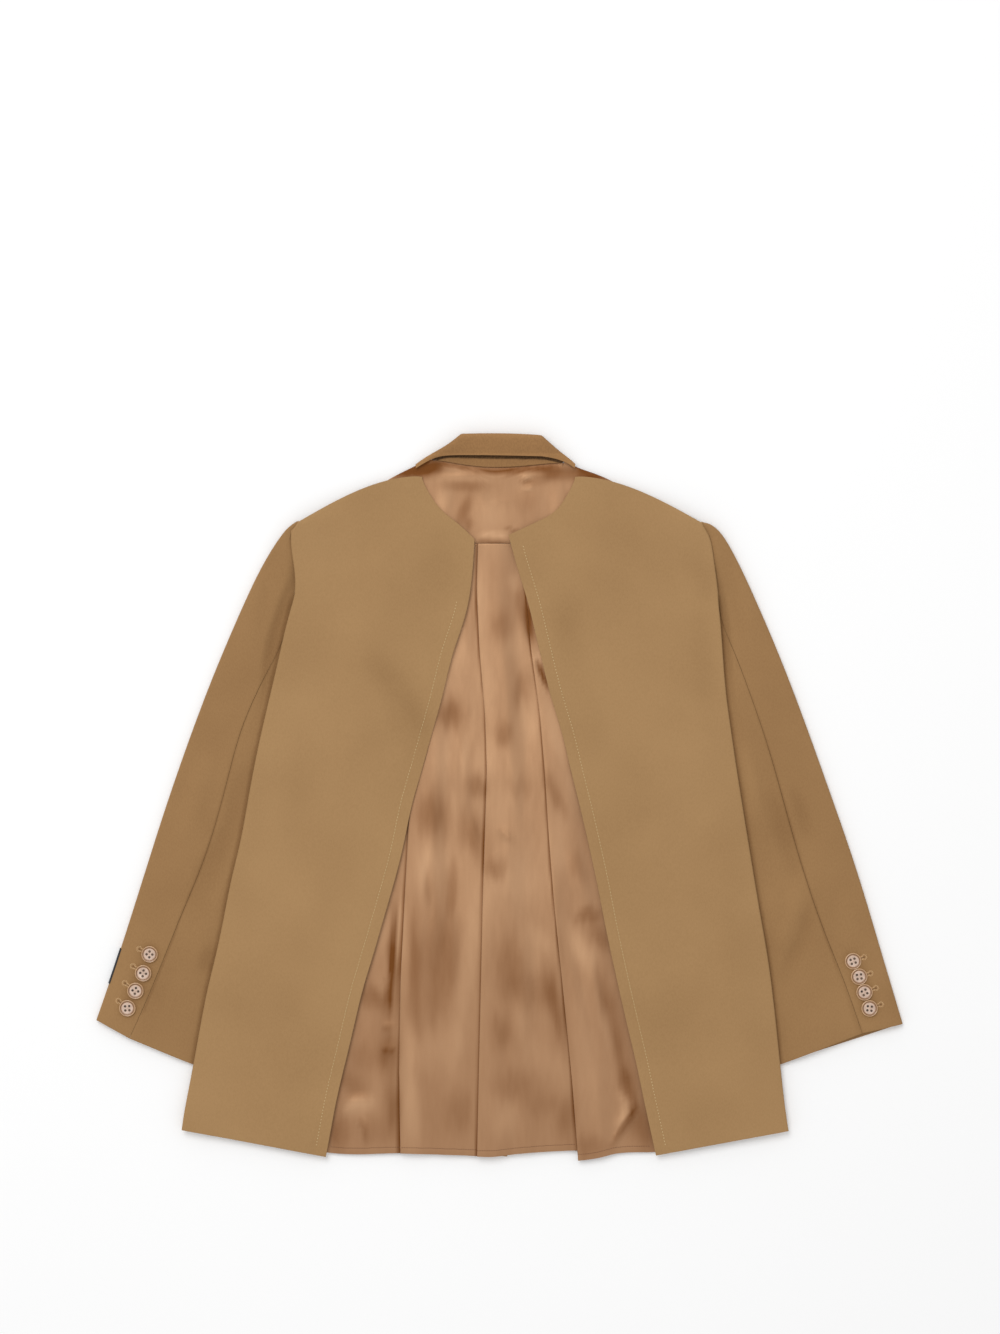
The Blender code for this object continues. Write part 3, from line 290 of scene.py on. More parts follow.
# The darkest patches, at the yoke's ends and under the collar stand, are painted shadow.
YOKE_PAINTED_LIGHT = [
    PaintedLightPatch(-104, 362, 26, 12, 2.4),
    PaintedLightPatch(-73, 362, 17.6, 8.4, 1.75, -18),
    PaintedLightPatch(106, 358, 28, 12, 2.4),
    PaintedLightPatch(60, 358, 19.8, 9.5, 1.35, 12),
    PaintedLightPatch(12, 359.5, 39.6, 4.7, 2.05, -4),
    PaintedLightPatch(-38, 363, 26.4, 3.2, 1.35, 8),
    PaintedLightPatch(-38, 342, 26.4, 6.3, 0.8),
    PaintedLightPatch(46, 349, 17.6, 6.3, 0.55, -20),
    PaintedLightPatch(-30, 351, 30, 4, -0.3),
    PaintedLightPatch(-40, 315, 6.6, 17.9, 1, 20),
    PaintedLightPatch(-34, 300, 5.5, 7.4, 0.8),
    PaintedLightPatch(-64, 325, 9, 18, -0.45, 25),
    PaintedLightPatch(-10, 311, 18, 18, -0.45),
    PaintedLightPatch(25, 325, 15.4, 12.6, 0.35),
    PaintedLightPatch(0, 288, 20, 5, -0.55),
]

# Painted light and shade patches for the wool backs, much softer.
BACK_PAINTED_LIGHT = [
    PaintedLightPatch(-126, 132, 17, 42, 0.5, -40),
    PaintedLightPatch(-90, 90, 12, 26, 0.35, -30),
    PaintedLightPatch(-66, 250, 22, 40, 0.3),
    PaintedLightPatch(-160, 270, 40, 34, -0.2),
    PaintedLightPatch(-190, 120, 34, 60, -0.2),
    PaintedLightPatch(-240, -60, 34, 90, -0.15, 8),
    PaintedLightPatch(-150, -200, 50, 70, -0.12),
    PaintedLightPatch(71, 200, 20, 34, 0.35),
    PaintedLightPatch(120, 236, 26, 16, 0.25, 20),
    PaintedLightPatch(226, 150, 14, 60, 0.35, -4),
    PaintedLightPatch(150, 130, 36, 50, -0.15),
    PaintedLightPatch(130, 10, 34, 46, -0.12),
    PaintedLightPatch(180, -255, 44, 40, 0.2),
    PaintedLightPatch(230, -150, 30, 60, -0.12),
]

# How crisp the painted patches end, how much painted shade darkens the hem against the
# yoke, and the painted shadow in the creases under the pleats.
PAINTED_PATCH_EDGE = 1.4
SATIN_HEM_PAINTED_SHADE = 0.32
PLEAT_PAINTED_SHADOW = 2.2

# How far the painted patches on skirt and yoke run out unevenly, across and along.
SKIRT_RAGGED = (7.0, 15.0)
YOKE_RAGGED = (6.0, 2.5)

# Centres and turns of the sleeve buttons from the upper one to the cuff, and the ends of
# their buttonholes.
Button = namedtuple("Button", "x y turn hole_x hole_y")
BUTTONS = {
    "left": [
        Button(-384.7, -172.9, 42, -396, -167),
        Button(-391.7, -193.7, 36, -403, -186),
        Button(-400.2, -213, 34, -412, -204.5),
        Button(-409.1, -232.1, 3, -419, -224),
    ],
    "right": [
        Button(388.7, -180.4, 18, 401, -176),
        Button(395.4, -197.4, 8, 408, -194),
        Button(401.2, -214.6, 28, 414, -210),
        Button(406.8, -232.3, -6, 419.5, -228),
    ],
}

# Cut size of each cloth piece before it is sewn, in metres.
Cut = namedtuple("Cut", "width length")


def screen(red, green, blue):
    """Linear colour of an 8-bit screen colour."""
    return tuple(((value / 255 + 0.055) / 1.055) ** 2.4 for value in (red, green, blue)) + (1.0,)


def colour_property(name, description, *value):
    """Colour setting with its default as a screen colour."""
    return FloatVectorProperty(
        name=name,
        description=description,
        subtype="COLOR",
        size=4,
        min=0.0,
        max=1.0,
        default=screen(*value),
    )


def length_property(name, description, millimetres):
    """Length setting with its default in millimetres."""
    return FloatProperty(
        name=name, description=description, unit="LENGTH", min=0.0, default=millimetres * MM
    )


class BlazerClothSettings(bpy.types.PropertyGroup):
    wool: colour_property("Wool", "Camel wool of the body", 170, 134, 91)
    # Each shade colour is the darker yarn of its wool and also its painted shade in hollows and folds.
    wool_shade: colour_property("Wool shade", "Darker yarns and hollows of the wool", 132, 98, 60)
    sleeve: colour_property("Sleeve wool", "Camel wool of the sleeves", 160, 123, 81)
    sleeve_shade: colour_property("Sleeve shade", "Darker yarns and hollows of the sleeves", 116, 81, 46)
    collar: colour_property("Collar wool", "Camel wool of the collar", 168, 125, 80)
    # The collar's dark colour is nearly black, for the painted shadow under the fall.
    collar_shade: colour_property("Collar shade", "Darker yarns and hollows of the collar", 56, 36, 18)
    # The satin is one cloth as a lit copy and a shaded copy, mixed for its painted reflections and painted
    # shade.
    satin: colour_property("Satin", "Copper satin in the light", 199, 157, 120)
    satin_shade: colour_property("Satin shade", "Copper satin in its hollows", 110, 64, 27)
    tape: colour_property("Label tape", "Dark woven tape of the blank label", 22, 22, 24)
    twill_pitch: length_property("Twill pitch", "Distance between two twill lines", 0.9)
    satin_pitch: length_property("Satin pitch", "Distance between two satin yarns", 0.35)
    edge_round: length_property("Edge rounding", "Rounding of the cloth's turned edges", 0.45)


class BlazerSewingSettings(bpy.types.PropertyGroup):
    thread: colour_property("Topstitch thread", "Thread along the open back", 220, 198, 148)
    hem_thread: colour_property("Hem thread", "Thread of the lining's hem", 112, 72, 44)
    hole_thread: colour_property("Buttonhole thread", "Thread round the buttonholes", 218, 180, 132)
    # The slit's colour is painted shadow in the buttonholes' slits and eyes.
    slit: colour_property("Slit", "Dark slit of the buttonholes", 126, 88, 54)
    inset: length_property("Topstitch inset", "From the opening's edge to the topstitch", 12.5)
    pitch: length_property("Stitch pitch", "Distance between two stitches", 3.5)
    length: length_property("Stitch length", "Length of one stitch", 1.5)
    width: length_property("Stitch width", "Width of the thread", 0.75)
    hem_inset: length_property("Hem stitch inset", "From the lining's hem to its stitches", 6.5)


class BlazerButtonSettings(bpy.types.PropertyGroup):
    face: colour_property("Button face", "Pale middle of the button", 218, 190, 170)
    edge: colour_property("Button edge", "Light outer edge of the button", 206, 166, 124)
    rim: colour_property("Button rim", "Brown band inside the edge", 104, 68, 42)
    groove: colour_property("Button groove", "Tan groove between the rim and the face", 172, 130, 92)
    # The holes' dark colour is painted shade in their shallow pits.
    hole: colour_property("Button holes", "Dark thread holes", 36, 20, 14)
    diameter: length_property("Diameter", "Across the button", 18.4)
    hole_diameter: length_property("Hole diameter", "Across one thread hole", 2.8)
    hole_pitch: length_property("Hole pitch", "Between two holes", 4.5)
    sides: IntProperty(name="Sides", description="Segments round the button", min=16, default=40)


class BlazerStageSettings(bpy.types.PropertyGroup):
    floor: colour_property("Floor", "Pale studio floor", 254, 254, 254)
    camera_height: FloatProperty(
        name="Camera height", description="Camera above the floor", unit="LENGTH", min=0.5, default=3.0
    )
    key_power: FloatProperty(
        name="Key light", description="Watts of the large light", min=0.0, default=107.0
    )
    strip_power: FloatProperty(
        name="Strip light", description="Watts of the narrow light", min=0.0, default=9.0
    )
    sky: FloatProperty(name="Sky", description="Brightness of the even light", min=0.0, default=0.66)


def smooth(start, end, value):
    """Soft step from 0 at start to 1 at end."""
    share = np.clip((np.asarray(value, float) - start) / (end - start), 0.0, 1.0)
    return share * share * (3.0 - 2.0 * share)


def deselect_all():
    """Nothing selected, so that an operator acts only on what comes next."""
    for item in bpy.context.view_layer.objects.selected:
        item.select_set(False)


def make_active(piece):
    """Only this piece is selected and active."""
    deselect_all()
    piece.select_set(True)
    bpy.context.view_layer.objects.active = piece


def apply_modifiers(piece):
    """Applies all modifiers of a piece in order."""
    make_active(piece)
    for modifier in list(piece.modifiers):
        bpy.ops.object.modifier_apply(modifier=modifier.name)


def points_of(piece):
    """Vertex places of a piece in millimetres."""
    places = np.empty(len(piece.data.vertices) * 3, np.float32)
    piece.data.vertices.foreach_get("co", places)
    return places.reshape(-1, 3).astype(float) / MM


def set_points(piece, places):
    """Moves the vertices of a piece to places in millimetres."""
    piece.data.vertices.foreach_set("co", (places * MM).astype(np.float32).ravel())
    piece.data.update()


def surface_tree(name):
    """Search tree of a piece's faces."""
    mesh = bpy.data.objects[name].data
    return BVHTree.FromPolygons([v.co for v in mesh.vertices], [p.vertices for p in mesh.polygons])


def drop_on(tree, x, y):
    """Height of the topmost surface at a level point, in millimetres, or None beside it."""
    hit = tree.ray_cast(Vector((x * MM, y * MM, 1.0)), Vector((0, 0, -1)))[0]
    return None if hit is None else hit.z / MM


# Points on the rims of each cloth copy that is made, by its node.
RIMS = {}
MERGE_REACH = 0.01
JOIN_FACE_ANGLE = math.radians(35)
JOIN_SHAPE_ANGLE = math.radians(85)
LONG_ROW = 25.0
SHARP_EDGE = math.radians(60)
SHARP_CORNER = math.radians(40)
ROUNDED_EDGE = math.radians(50)

# Where the collar's fall bends at its corners, across, and how sharply.
COLLAR_CORNERS = (-42.0, 46.0)
CORNER_REACH = 1.2
CORNER_CREASE = 0.75

# Subdivision levels of pieces with close detail, and of large plain ones.
FINE = 3
PLAIN = 2


def cloth_copy(node, levels, row_cuts=0, corners=()):
    """Finer copy of a node's cloth wall: quads, sharp rims, subdivided, rims rounded.

    Long rows are cut first, and the cloth bends sharply at the corners across.
    """
    mesh = frame["nodes"][node].data.copy()
    mesh.name = node + "_cloth"
    piece = bpy.data.objects.new(node + "_cloth", mesh)
    bpy.context.scene.collection.objects.link(piece)
    bm = bmesh.new()
    bm.from_mesh(mesh)
    bmesh.ops.remove_doubles(bm, verts=bm.verts, dist=MERGE_REACH * MM)
    bmesh.ops.join_triangles(
        bm,
        faces=bm.faces,
        angle_face_threshold=JOIN_FACE_ANGLE,
        angle_shape_threshold=JOIN_SHAPE_ANGLE,
    )
    if row_cuts:
        long_edges = []
        for edge in bm.edges:
            run = edge.verts[0].co - edge.verts[1].co
            if abs(run.y) > LONG_ROW * MM and abs(run.y) > abs(run.x):
                long_edges.append(edge)
        bmesh.ops.subdivide_edges(bm, edges=long_edges, cuts=row_cuts, use_grid_fill=True)
    crease = bm.edges.layers.float.get("crease_edge") or bm.edges.layers.float.new("crease_edge")
    corner = bm.verts.layers.float.get("crease_vert") or bm.verts.layers.float.new("crease_vert")
    for edge in bm.edges:
        across = [vertex.co.x / MM for vertex in edge.verts]
        if edge.calc_face_angle(0.0) > SHARP_EDGE:
            edge[crease] = 1.0
        elif any(max(abs(x - corner_x) for x in across) < CORNER_REACH for corner_x in corners):
            edge[crease] = CORNER_CREASE
    for vertex in bm.verts:
        rims = [edge.other_vert(vertex).co - vertex.co for edge in vertex.link_edges if edge[crease] == 1.0]
        if len(rims) == 2 and math.pi - rims[0].angle(rims[1]) > SHARP_CORNER:
            vertex[corner] = 1.0
    bmesh.ops.recalc_face_normals(bm, faces=bm.faces)
    bm.to_mesh(mesh)
    bm.free()
    if levels:
        finer = piece.modifiers.new("finer", "SUBSURF")
        finer.levels = levels
        finer.render_levels = levels
        apply_modifiers(piece)
    creases = piece.data.attributes["crease_edge"].data
    on_rim = sorted({v for e, c in zip(piece.data.edges, creases) if c.value > 0.5 for v in e.vertices})
    RIMS[node] = points_of(piece)[on_rim]
    rounding = piece.modifiers.new("rounding", "BEVEL")
    rounding.width = bpy.context.scene.blazer_cloth.edge_round
    rounding.segments = 2
    rounding.limit_method = "ANGLE"
    rounding.angle_limit = ROUNDED_EDGE
    apply_modifiers(piece)
    bpy.ops.object.shade_smooth()
    return piece


# Share of a fold's length over which it fades at each end, and how much of that lies
# outside its line.
FOLD_TAPER = 0.4
FOLD_RUN_OUT = 0.1


def fold_share(level, fold):
    """How strongly a fold acts at each level point: full on its line, fading to its ends."""
    path = np.asarray(fold.path, float)
    steps = np.diff(path, axis=0)
    lengths = np.linalg.norm(steps, axis=1)
    runs = np.concatenate(([0.0], np.cumsum(lengths)))
    nearest = np.full(len(level), np.inf)
    place = np.zeros(len(level))
    side = np.zeros(len(level))
    for start, step, length, run in zip(path, steps, lengths, runs):
        offset = level - start
        share = np.clip((offset @ step) / length ** 2, 0.0, 1.0)
        gap = np.linalg.norm(offset - share[:, None] * step, axis=1)
        closer = gap < nearest
        nearest[closer] = gap[closer]
        place[closer] = run + share[closer] * length
        side[closer] = np.sign(step[0] * offset[closer, 1] - step[1] * offset[closer, 0])
    reach = fold.width * (1.0 + fold.lean * side)
    across = np.clip(nearest / reach, 0.0, 1.0)
    taper = FOLD_TAPER * runs[-1]
    outside = -FOLD_RUN_OUT * taper
    ends = smooth(outside, taper, place) * smooth(outside, taper, runs[-1] - place)
    return (1.0 - across ** 2) ** 2 * ends


def waves(level, spacing, stretch, seed):
    """Uneven soft waves between 0 and 1 at each level point."""
    scaled = [(x / spacing, y / (spacing * stretch), seed) for x, y in level]
    return np.array([0.5 + 0.5 * noise.noise(Vector(point)) for point in scaled])


def painted_patch_share(level, patch):
    """How strongly a patch of painted light or shade acts at each level point."""
    lean = math.radians(patch.lean)
    offset = level - (patch.x, patch.y)
    across = (offset[:, 0] * math.cos(lean) - offset[:, 1] * math.sin(lean)) / patch.half_width
    along = (offset[:, 0] * math.sin(lean) + offset[:, 1] * math.cos(lean)) / patch.half_length
    return np.exp(-(across ** 2 + along ** 2) ** PAINTED_PATCH_EDGE)


# Least and greatest painted shade that a piece keeps, and what the materials make of them.
PAINTED_SHADE_RANGE = (-1.2, 2.4)
PAINTED_SHADE_MIX = (-0.36, 0.72)


def keep_painted_shade(piece, shade):
    """Keeps painted light and shade at each point, for the materials to mix into the colour."""
    attribute = piece.data.attributes.new("shade", "FLOAT", "POINT")
    attribute.data.foreach_set("value", np.clip(shade, *PAINTED_SHADE_RANGE).astype(np.float32))


# Spacing, stretch and seed of the waves that make the painted patches run out unevenly.
RAGGED_ACROSS = (10.0, 4.0, 5.3)
RAGGED_ALONG = (7.0, 7.0, 6.1)
WAVE_SEED = 3.7

# The finer waves on the broad ones: how much lower, how much closer, and their seed.
FINE_WAVES = (0.35, 2.6, 9.1)


def press(piece, folds, weight, wave_height, spacing, stretch, tones=(), base=0.0, ragged=(0.0, 0.0)):
    """Presses folds and soft waves into a cloth piece, and keeps the painted light and shade of its folds,
    patches and base.
    """
    places = points_of(piece)
    level = places[:, :2]
    rise = np.zeros(len(places))
    shade = base + np.zeros(len(places))
    for fold in folds:
        share = fold_share(level, fold)
        rise += share * fold.height
        shade += share * fold.shade
    uneven = level + np.column_stack((
        ragged[0] * (waves(level, *RAGGED_ACROSS) - 0.5),
        ragged[1] * (waves(level, *RAGGED_ALONG) - 0.5),
    ))
    for patch in tones:
        shade += painted_patch_share(uneven, patch) * patch.shade
    lower, closer, seed = FINE_WAVES
    rise += wave_height * waves(level, spacing, stretch, WAVE_SEED)
    rise += lower * wave_height * waves(level, spacing / closer, stretch, seed)
    places[:, 2] += rise * weight(places)
    set_points(piece, places)
    keep_painted_shade(piece, shade)


# Heights between which a piece turns from its lower side to its upper side.
UPPER_FROM = 2.6
UPPER_TO = 5.4


def upper_side(places):
    """1 on the side that faces up, 0 on the side that rests on the floor."""
    return smooth(UPPER_FROM, UPPER_TO, places[:, 2])


# The part of a back's rim that is the opening's edge: how far across, and from where to
# where along.
OPENING_REACH = 192.5
OPENING_FROM = -388
OPENING_TO = 285


def opening_line(side):
    """Across and along places of the back opening's edge on one wool back."""
    rim = RIMS["back_" + side]
    along = (rim[:, 1] > OPENING_FROM) & (rim[:, 1] < OPENING_TO)
    edge = rim[(np.abs(rim[:, 0]) < OPENING_REACH) & along]
    edge = edge[np.argsort(edge[:, 1])]
    return edge[:, 0], edge[:, 1]


def inside_opening(places):
    """Distance of each point inside the back opening, in millimetres."""
    left_x, left_y = opening_line("left")
    right_x, right_y = opening_line("right")
    left = np.interp(places[:, 1], left_y, left_x)
    right = np.interp(places[:, 1], right_y, right_x)
    return np.minimum(places[:, 0] - left, right - places[:, 0])


def dress(piece, material, node):
    """Gives a cloth piece its material, puts it in its node's place and hides the node's solid."""
    piece.data.materials.clear()
    piece.data.materials.append(material)
    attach(piece, "root")
    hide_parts(node)


class MaterialNodes:
    """One material, built node by node on the place of each point in its object."""

    def __init__(self, name):
        self.material = bpy.data.materials.new(name)
        self.material.use_nodes = True
        self.tree = self.material.node_tree
        self.place = self.node("ShaderNodeTexCoord").outputs["Object"]

    def feed(self, socket, value):
        """Links a socket to another one, or sets its plain value."""
        if isinstance(value, bpy.types.NodeSocket):
            self.tree.links.new(value, socket)
        else:
            socket.default_value = value

    def node(self, kind, inputs=(), **settings):
        """Node with its settings, and a socket or a value for each of its inputs."""
        item = self.tree.nodes.new(kind)
        row, column = divmod(len(self.tree.nodes), 6)
        item.location = (column * 220 - 1500, -row * 260)
        for name, value in settings.items():
            setattr(item, name, value)
        for name, value in dict(inputs).items():
            self.feed(item.inputs[name], value)
        return item

    def turned(self, turn, scale=(1, 1, 1)):
        """Place of each point in a turned and scaled pattern."""
        inputs = {"Vector": self.place, "Rotation": (0, 0, turn), "Scale": scale}
        return self.node("ShaderNodeMapping", inputs).outputs["Vector"]

    def noise(self, place, scale, detail, roughness=0.5, distortion=0.0):
        """Cloudy pattern."""
        inputs = {
            "Vector": place,
            "Scale": scale,
            "Detail": detail,
            "Roughness": roughness,
            "Distortion": distortion,
        }
        return self.node("ShaderNodeTexNoise", inputs).outputs["Fac"]

    def bands(self, place, direction, pitch, distortion, detail=2.0, detail_scale=1.0):
        """Wavy lines that lie a pitch apart, in metres."""
        inputs = {
            "Vector": place,
            "Scale": 2 * math.pi / (20 * pitch),
            "Distortion": distortion,
            "Detail": detail,
            "Detail Scale": detail_scale,
        }
        return self.node("ShaderNodeTexWave", inputs, bands_direction=direction).outputs["Fac"]

    def ranged(self, value, low, high, to_low, to_high):
        """Value moved from one range to another, and kept inside it."""
        inputs = {"Value": value, "From Min": low, "From Max": high, "To Min": to_low, "To Max": to_high}
        return self.node("ShaderNodeMapRange", inputs).outputs["Result"]

    def total(self, first, second, clamped=False):
        """Sum of two values, kept between 0 and 1 where clamped."""
        item = self.node("ShaderNodeMath", operation="ADD", use_clamp=clamped)
        self.feed(item.inputs[0], first)
        self.feed(item.inputs[1], second)
        return item.outputs[0]

    def mix(self, share, first, second):
        """Colour between two."""
        item = self.node("ShaderNodeMix", {"Factor": share}, data_type="RGBA")
        sockets = [socket for socket in item.inputs if socket.type == "RGBA"]
        self.feed(sockets[0], first)
        self.feed(sockets[1], second)
        return next(socket for socket in item.outputs if socket.type == "RGBA")

    def kept_shade(self):
        """Painted light and shade that the piece keeps at each point."""
        kept = self.node("ShaderNodeAttribute", attribute_type="GEOMETRY", attribute_name="shade")
        return self.ranged(kept.outputs["Fac"], *PAINTED_SHADE_RANGE, *PAINTED_SHADE_MIX)

    def relief(self, height, strength, depth):
        """Normal of a fine relief, its depth in millimetres."""
        inputs = {"Height": height, "Strength": strength, "Distance": depth * MM}
        return self.node("ShaderNodeBump", inputs).outputs["Normal"]

    def done(self, inputs):
        """Feeds the shader's own inputs and gives the material."""
        shader = self.tree.nodes["Principled BSDF"]
        for name, value in inputs.items():
            self.feed(shader.inputs[name], value)
        return self.material


TWILL_LEAN = math.radians(28)


def wool_material(name, colour, shade, grain):
    """Twill wool: diagonal lines, fuzzy yarns, soft mottling and painted shade in its hollows."""
    wool = MaterialNodes(name)
    pitch = bpy.context.scene.blazer_cloth.twill_pitch
    twill = wool.bands(wool.turned(grain + TWILL_LEAN), "X", pitch, 1.4, detail_scale=3.0)
    fuzz = wool.noise(wool.place, 1500.0, 3.0, roughness=0.6)
    yarn = wool.noise(wool.turned(grain, (1, 0.55, 1)), 700.0, 2.0)
    mottle = wool.noise(wool.place, 11.0, 2.5, roughness=0.45)
    weave = wool.total(wool.ranged(twill, 0.1, 0.9, 0.0, 0.14), wool.ranged(yarn, 0.35, 0.7, 0.0, 0.14))
    # Random mottling plus the painted light and shade that the piece keeps; the mix goes towards the dark
    # colour for darker yarns and painted shade.
    tones = wool.total(wool.ranged(mottle, 0.3, 0.72, -0.06, 0.16), wool.kept_shade())
    return wool.done({
        "Base Color": wool.mix(wool.total(weave, tones, clamped=True), colour, shade),
        "Normal": wool.relief(wool.total(twill, fuzz), 0.35, 0.15),
        "Roughness": 0.9,
        "Specular IOR Level": 0.25,
        "Sheen Weight": 0.25,
        "Sheen Roughness": 0.45,
        "Sheen Tint": colour,
    })


def satin_material(name):
    """Satin lining: long soft streaks of painted reflection, painted shade in its hollows, fine yarns and a
    broad gloss.
    """
    settings = bpy.context.scene.blazer_cloth
    satin = MaterialNodes(name)
    drawn = satin.turned(0.0, (1, 0.22, 1))
    # Long soft streaks of painted reflection.
    streaks = satin.noise(drawn, 34.0, 1.5, roughness=0.35)
    thin = satin.noise(drawn, 160.0, 2.0)
    yarn = satin.bands(satin.place, "X", settings.satin_pitch, 0.8, detail=1.0, detail_scale=2.0)
    broad = satin.ranged(streaks, 0.32, 0.7, 0.28, 0.36)
    narrow = satin.ranged(thin, 0.3, 0.7, -0.02, 0.03)
    # Share of the shaded copy: painted reflection streaks, fine random tone and the painted light and shade
    # that the piece keeps.
    share = satin.total(satin.total(broad, narrow), satin.kept_shade(), clamped=True)
    return satin.done({
        "Base Color": satin.mix(share, settings.satin, settings.satin_shade),
        "Normal": satin.relief(yarn, 0.2, 0.05),
        "Roughness": satin.ranged(thin, 0.3, 0.7, 0.34, 0.42),
        "Metallic": 0.2,
        "Specular IOR Level": 0.4,
        "Specular Tint": settings.satin,
        "Anisotropic": 0.4,
        "Sheen Weight": 0.08,
        "Sheen Roughness": 0.3,
        "Sheen Tint": settings.satin,
    })


def tinted(colour, strength):
    """Colour made darker or brighter."""
    return tuple(min(1.0, strength * value) for value in colour[:3]) + (1.0,)


def thread_material(name, colour):
    """Twisted sewing thread."""
    thread = MaterialNodes(name)
    twist = thread.bands(thread.place, "DIAGONAL", 0.35 * MM, 0.5)
    return thread.done({
        "Base Color": thread.mix(thread.ranged(twist, 0.0, 1.0, 0.0, 0.3), colour, tinted(colour, 0.6)),
        "Normal": thread.relief(twist, 0.4, 0.08),
        "Roughness": 0.6,
    })


def tape_material(name, colour):
    """Dark woven tape with fine crosswise ribs."""
    tape = MaterialNodes(name)
    rib = tape.bands(tape.place, "Y", 0.6 * MM, 0.6, detail=1.0)
    return tape.done({
        "Base Color": tape.mix(tape.ranged(rib, 0.0, 1.0, 0.0, 1.0), colour, tinted(colour, 2.2)),
        "Normal": tape.relief(rib, 0.5, 0.1),
        "Roughness": 0.7,
    })


def button_material(name, colour, veins):
    """Polished horn-like button with cloudy veins."""
    horn = MaterialNodes(name)
    cloud = horn.noise(horn.place, 180.0, 3.0, distortion=1.2)
    return horn.done({
        "Base Color": horn.mix(horn.ranged(cloud, 0.3, 0.75, 0.0, 0.4), colour, veins),
        "Roughness": horn.ranged(cloud, 0.3, 0.7, 0.24, 0.36),
        "Specular IOR Level": 0.55,
        "Coat Weight": 0.25,
        "Coat Roughness": 0.15,
    })


def floor_material(name, colour):
    """Matt pale floor with a hardly visible grain."""
    floor = MaterialNodes(name)
    grain = floor.noise(floor.place, 3.0, 2.0)
    return floor.done({
        "Base Color": floor.mix(floor.ranged(grain, 0.3, 0.7, 0.0, 0.02), colour, (0.8, 0.8, 0.8, 1.0)),
        "Roughness": 0.9,
        "Specular IOR Level": 0.1,
    })


class BLAZER_OT_backs(bpy.types.Operator):
    """Both wool backs, from the open back edge to the side seam"""

    bl_idname = "blazer.backs"
    bl_label = "Wool backs"

    def execute(self, context):
        settings = context.scene.blazer_cloth
        material = wool_material("wool_twill_body", settings.wool, settings.wool_shade, 0.0)
        for side in ("left", "right"):
            node = "back_" + side
            piece = cloth_copy(node, FINE)
            press(piece, BACK_FOLDS, upper_side, 1.3, 70.0, 1.6, BACK_PAINTED_LIGHT)
            dress(piece, material, node)
        return {"FINISHED"}


class BLAZER_OT_fronts(bpy.types.Operator):
    """Fronts, lapels and the collar's front ends, face down on the floor"""

    bl_idname = "blazer.fronts"
    bl_label = "Fronts and lapels"

    def execute(self, context):
        settings = context.scene.blazer_cloth
        body = bpy.data.materials["wool_twill_body"]
        collar = wool_material("wool_twill_collar", settings.collar, settings.collar_shade, 0.0)
        for side in ("left", "right"):
            for kind, levels, material, rests_on in (
                ("front", PLAIN, body, ["lapel_" + side]),
                ("lapel", 0, collar, []),
                ("collar_end", 0, collar, []),
            ):
                node = f"{kind}_{side}"
                piece = cloth_copy(node, levels)
                keep_painted_shade(piece, np.zeros(len(piece.data.vertices)))
                dress(piece, material, node)
        return {"FINISHED"}


SLEEVE_LEAN = math.radians(19.4)

# The armhole seam on each side, how far from it a sleeve is drawn under the back, how far
# it moves and sinks there, and how much further its tip moves.
ARMHOLE_LINE = {
    "left": [(-222, 304), (-229, 293), (-230, 278), (-227, 258), (-224.5, 241), (-225.5, 224)],
    "right": [(223, 303), (232, 286), (235, 268), (237.5, 250), (239.5, 235), (241, 220)],
}
ARMHOLE_REACH = 7.0
ARMHOLE_TUCK = 1.5
ARMHOLE_SINK = 1.0
ARMHOLE_TIP = 2.4

# Levels along over which that starts, takes in the lower side and reaches the tip.
ARMHOLE_FOOT_LEVELS = (222, 232)
ARMHOLE_TOP_LEVELS = (284, 294)
ARMHOLE_TIP_LEVELS = (291, 297)


def tuck_under_back(piece, side, sign):
    """Draws a sleeve's armhole edge a little under the back, where the seam holds it."""
    places = points_of(piece)
    along = places[:, 1]
    line = np.asarray(ARMHOLE_LINE[side], float)
    edge = np.interp(along, line[::-1, 1], line[::-1, 0])
    outside = np.abs(places[:, 0] - edge)
    near = smooth(ARMHOLE_REACH, 0.5, outside) * smooth(*ARMHOLE_FOOT_LEVELS, along)
    high = upper_side(places)
    tuck = np.maximum(high, smooth(*ARMHOLE_TOP_LEVELS, along)) * ARMHOLE_TUCK
    tip = smooth(*ARMHOLE_TIP_LEVELS, along) * ARMHOLE_TIP
    places[:, 0] += sign * near * (tuck + tip)
    places[:, 2] -= near * high * ARMHOLE_SINK
    set_points(piece, places)


# Painted shadow on a sleeve beside the back's side edge, painted shade in its seams and painted shadow
# round its buttons.
SIDE_LEVELS = np.arange(-385.0, 225.0, 8.0)
SIDE_REACH = 5.0
SIDE_PAINTED_SHADOW = 1.25
SIDE_TOP_LEVELS = (226.0, 214.0)
SEAM_LEVELS = np.arange(-150.0, 211.0, 15.0)
SEAM_HEIGHT = 4.0
SEAM_TOP = 215.0
SEAM_PAINTED_SHADE = 1.1
SEAM_WIDTH = 2.6
SEAM_END = {"left": (-404.0, -267.0), "right": (399.0, -258.5)}
SLEEVE_PAINTED_SHADE = [PaintedLightPatch(-322, -178, 9, 17, 0.8, 20)]
BUTTON_PAINTED_SHADOW = PaintedLightPatch(0, 0, 10.2, 10.2, 1.1)


def beside_back(places, side):
    """How near each point of a sleeve lies to the back's side edge, from 0 to 1, for the painted shadow
    there.
    """
    body = points_of(bpy.data.objects[f"back_{side}_cloth"])
    edge = [np.abs(body[np.abs(body[:, 1] - y) < 8.0, 0]).max() for y in SIDE_LEVELS]
    outside = np.abs(places[:, 0]) - np.interp(places[:, 1], SIDE_LEVELS, edge)
    return smooth(SIDE_REACH, 0.5, outside) * smooth(*SIDE_TOP_LEVELS, places[:, 1])


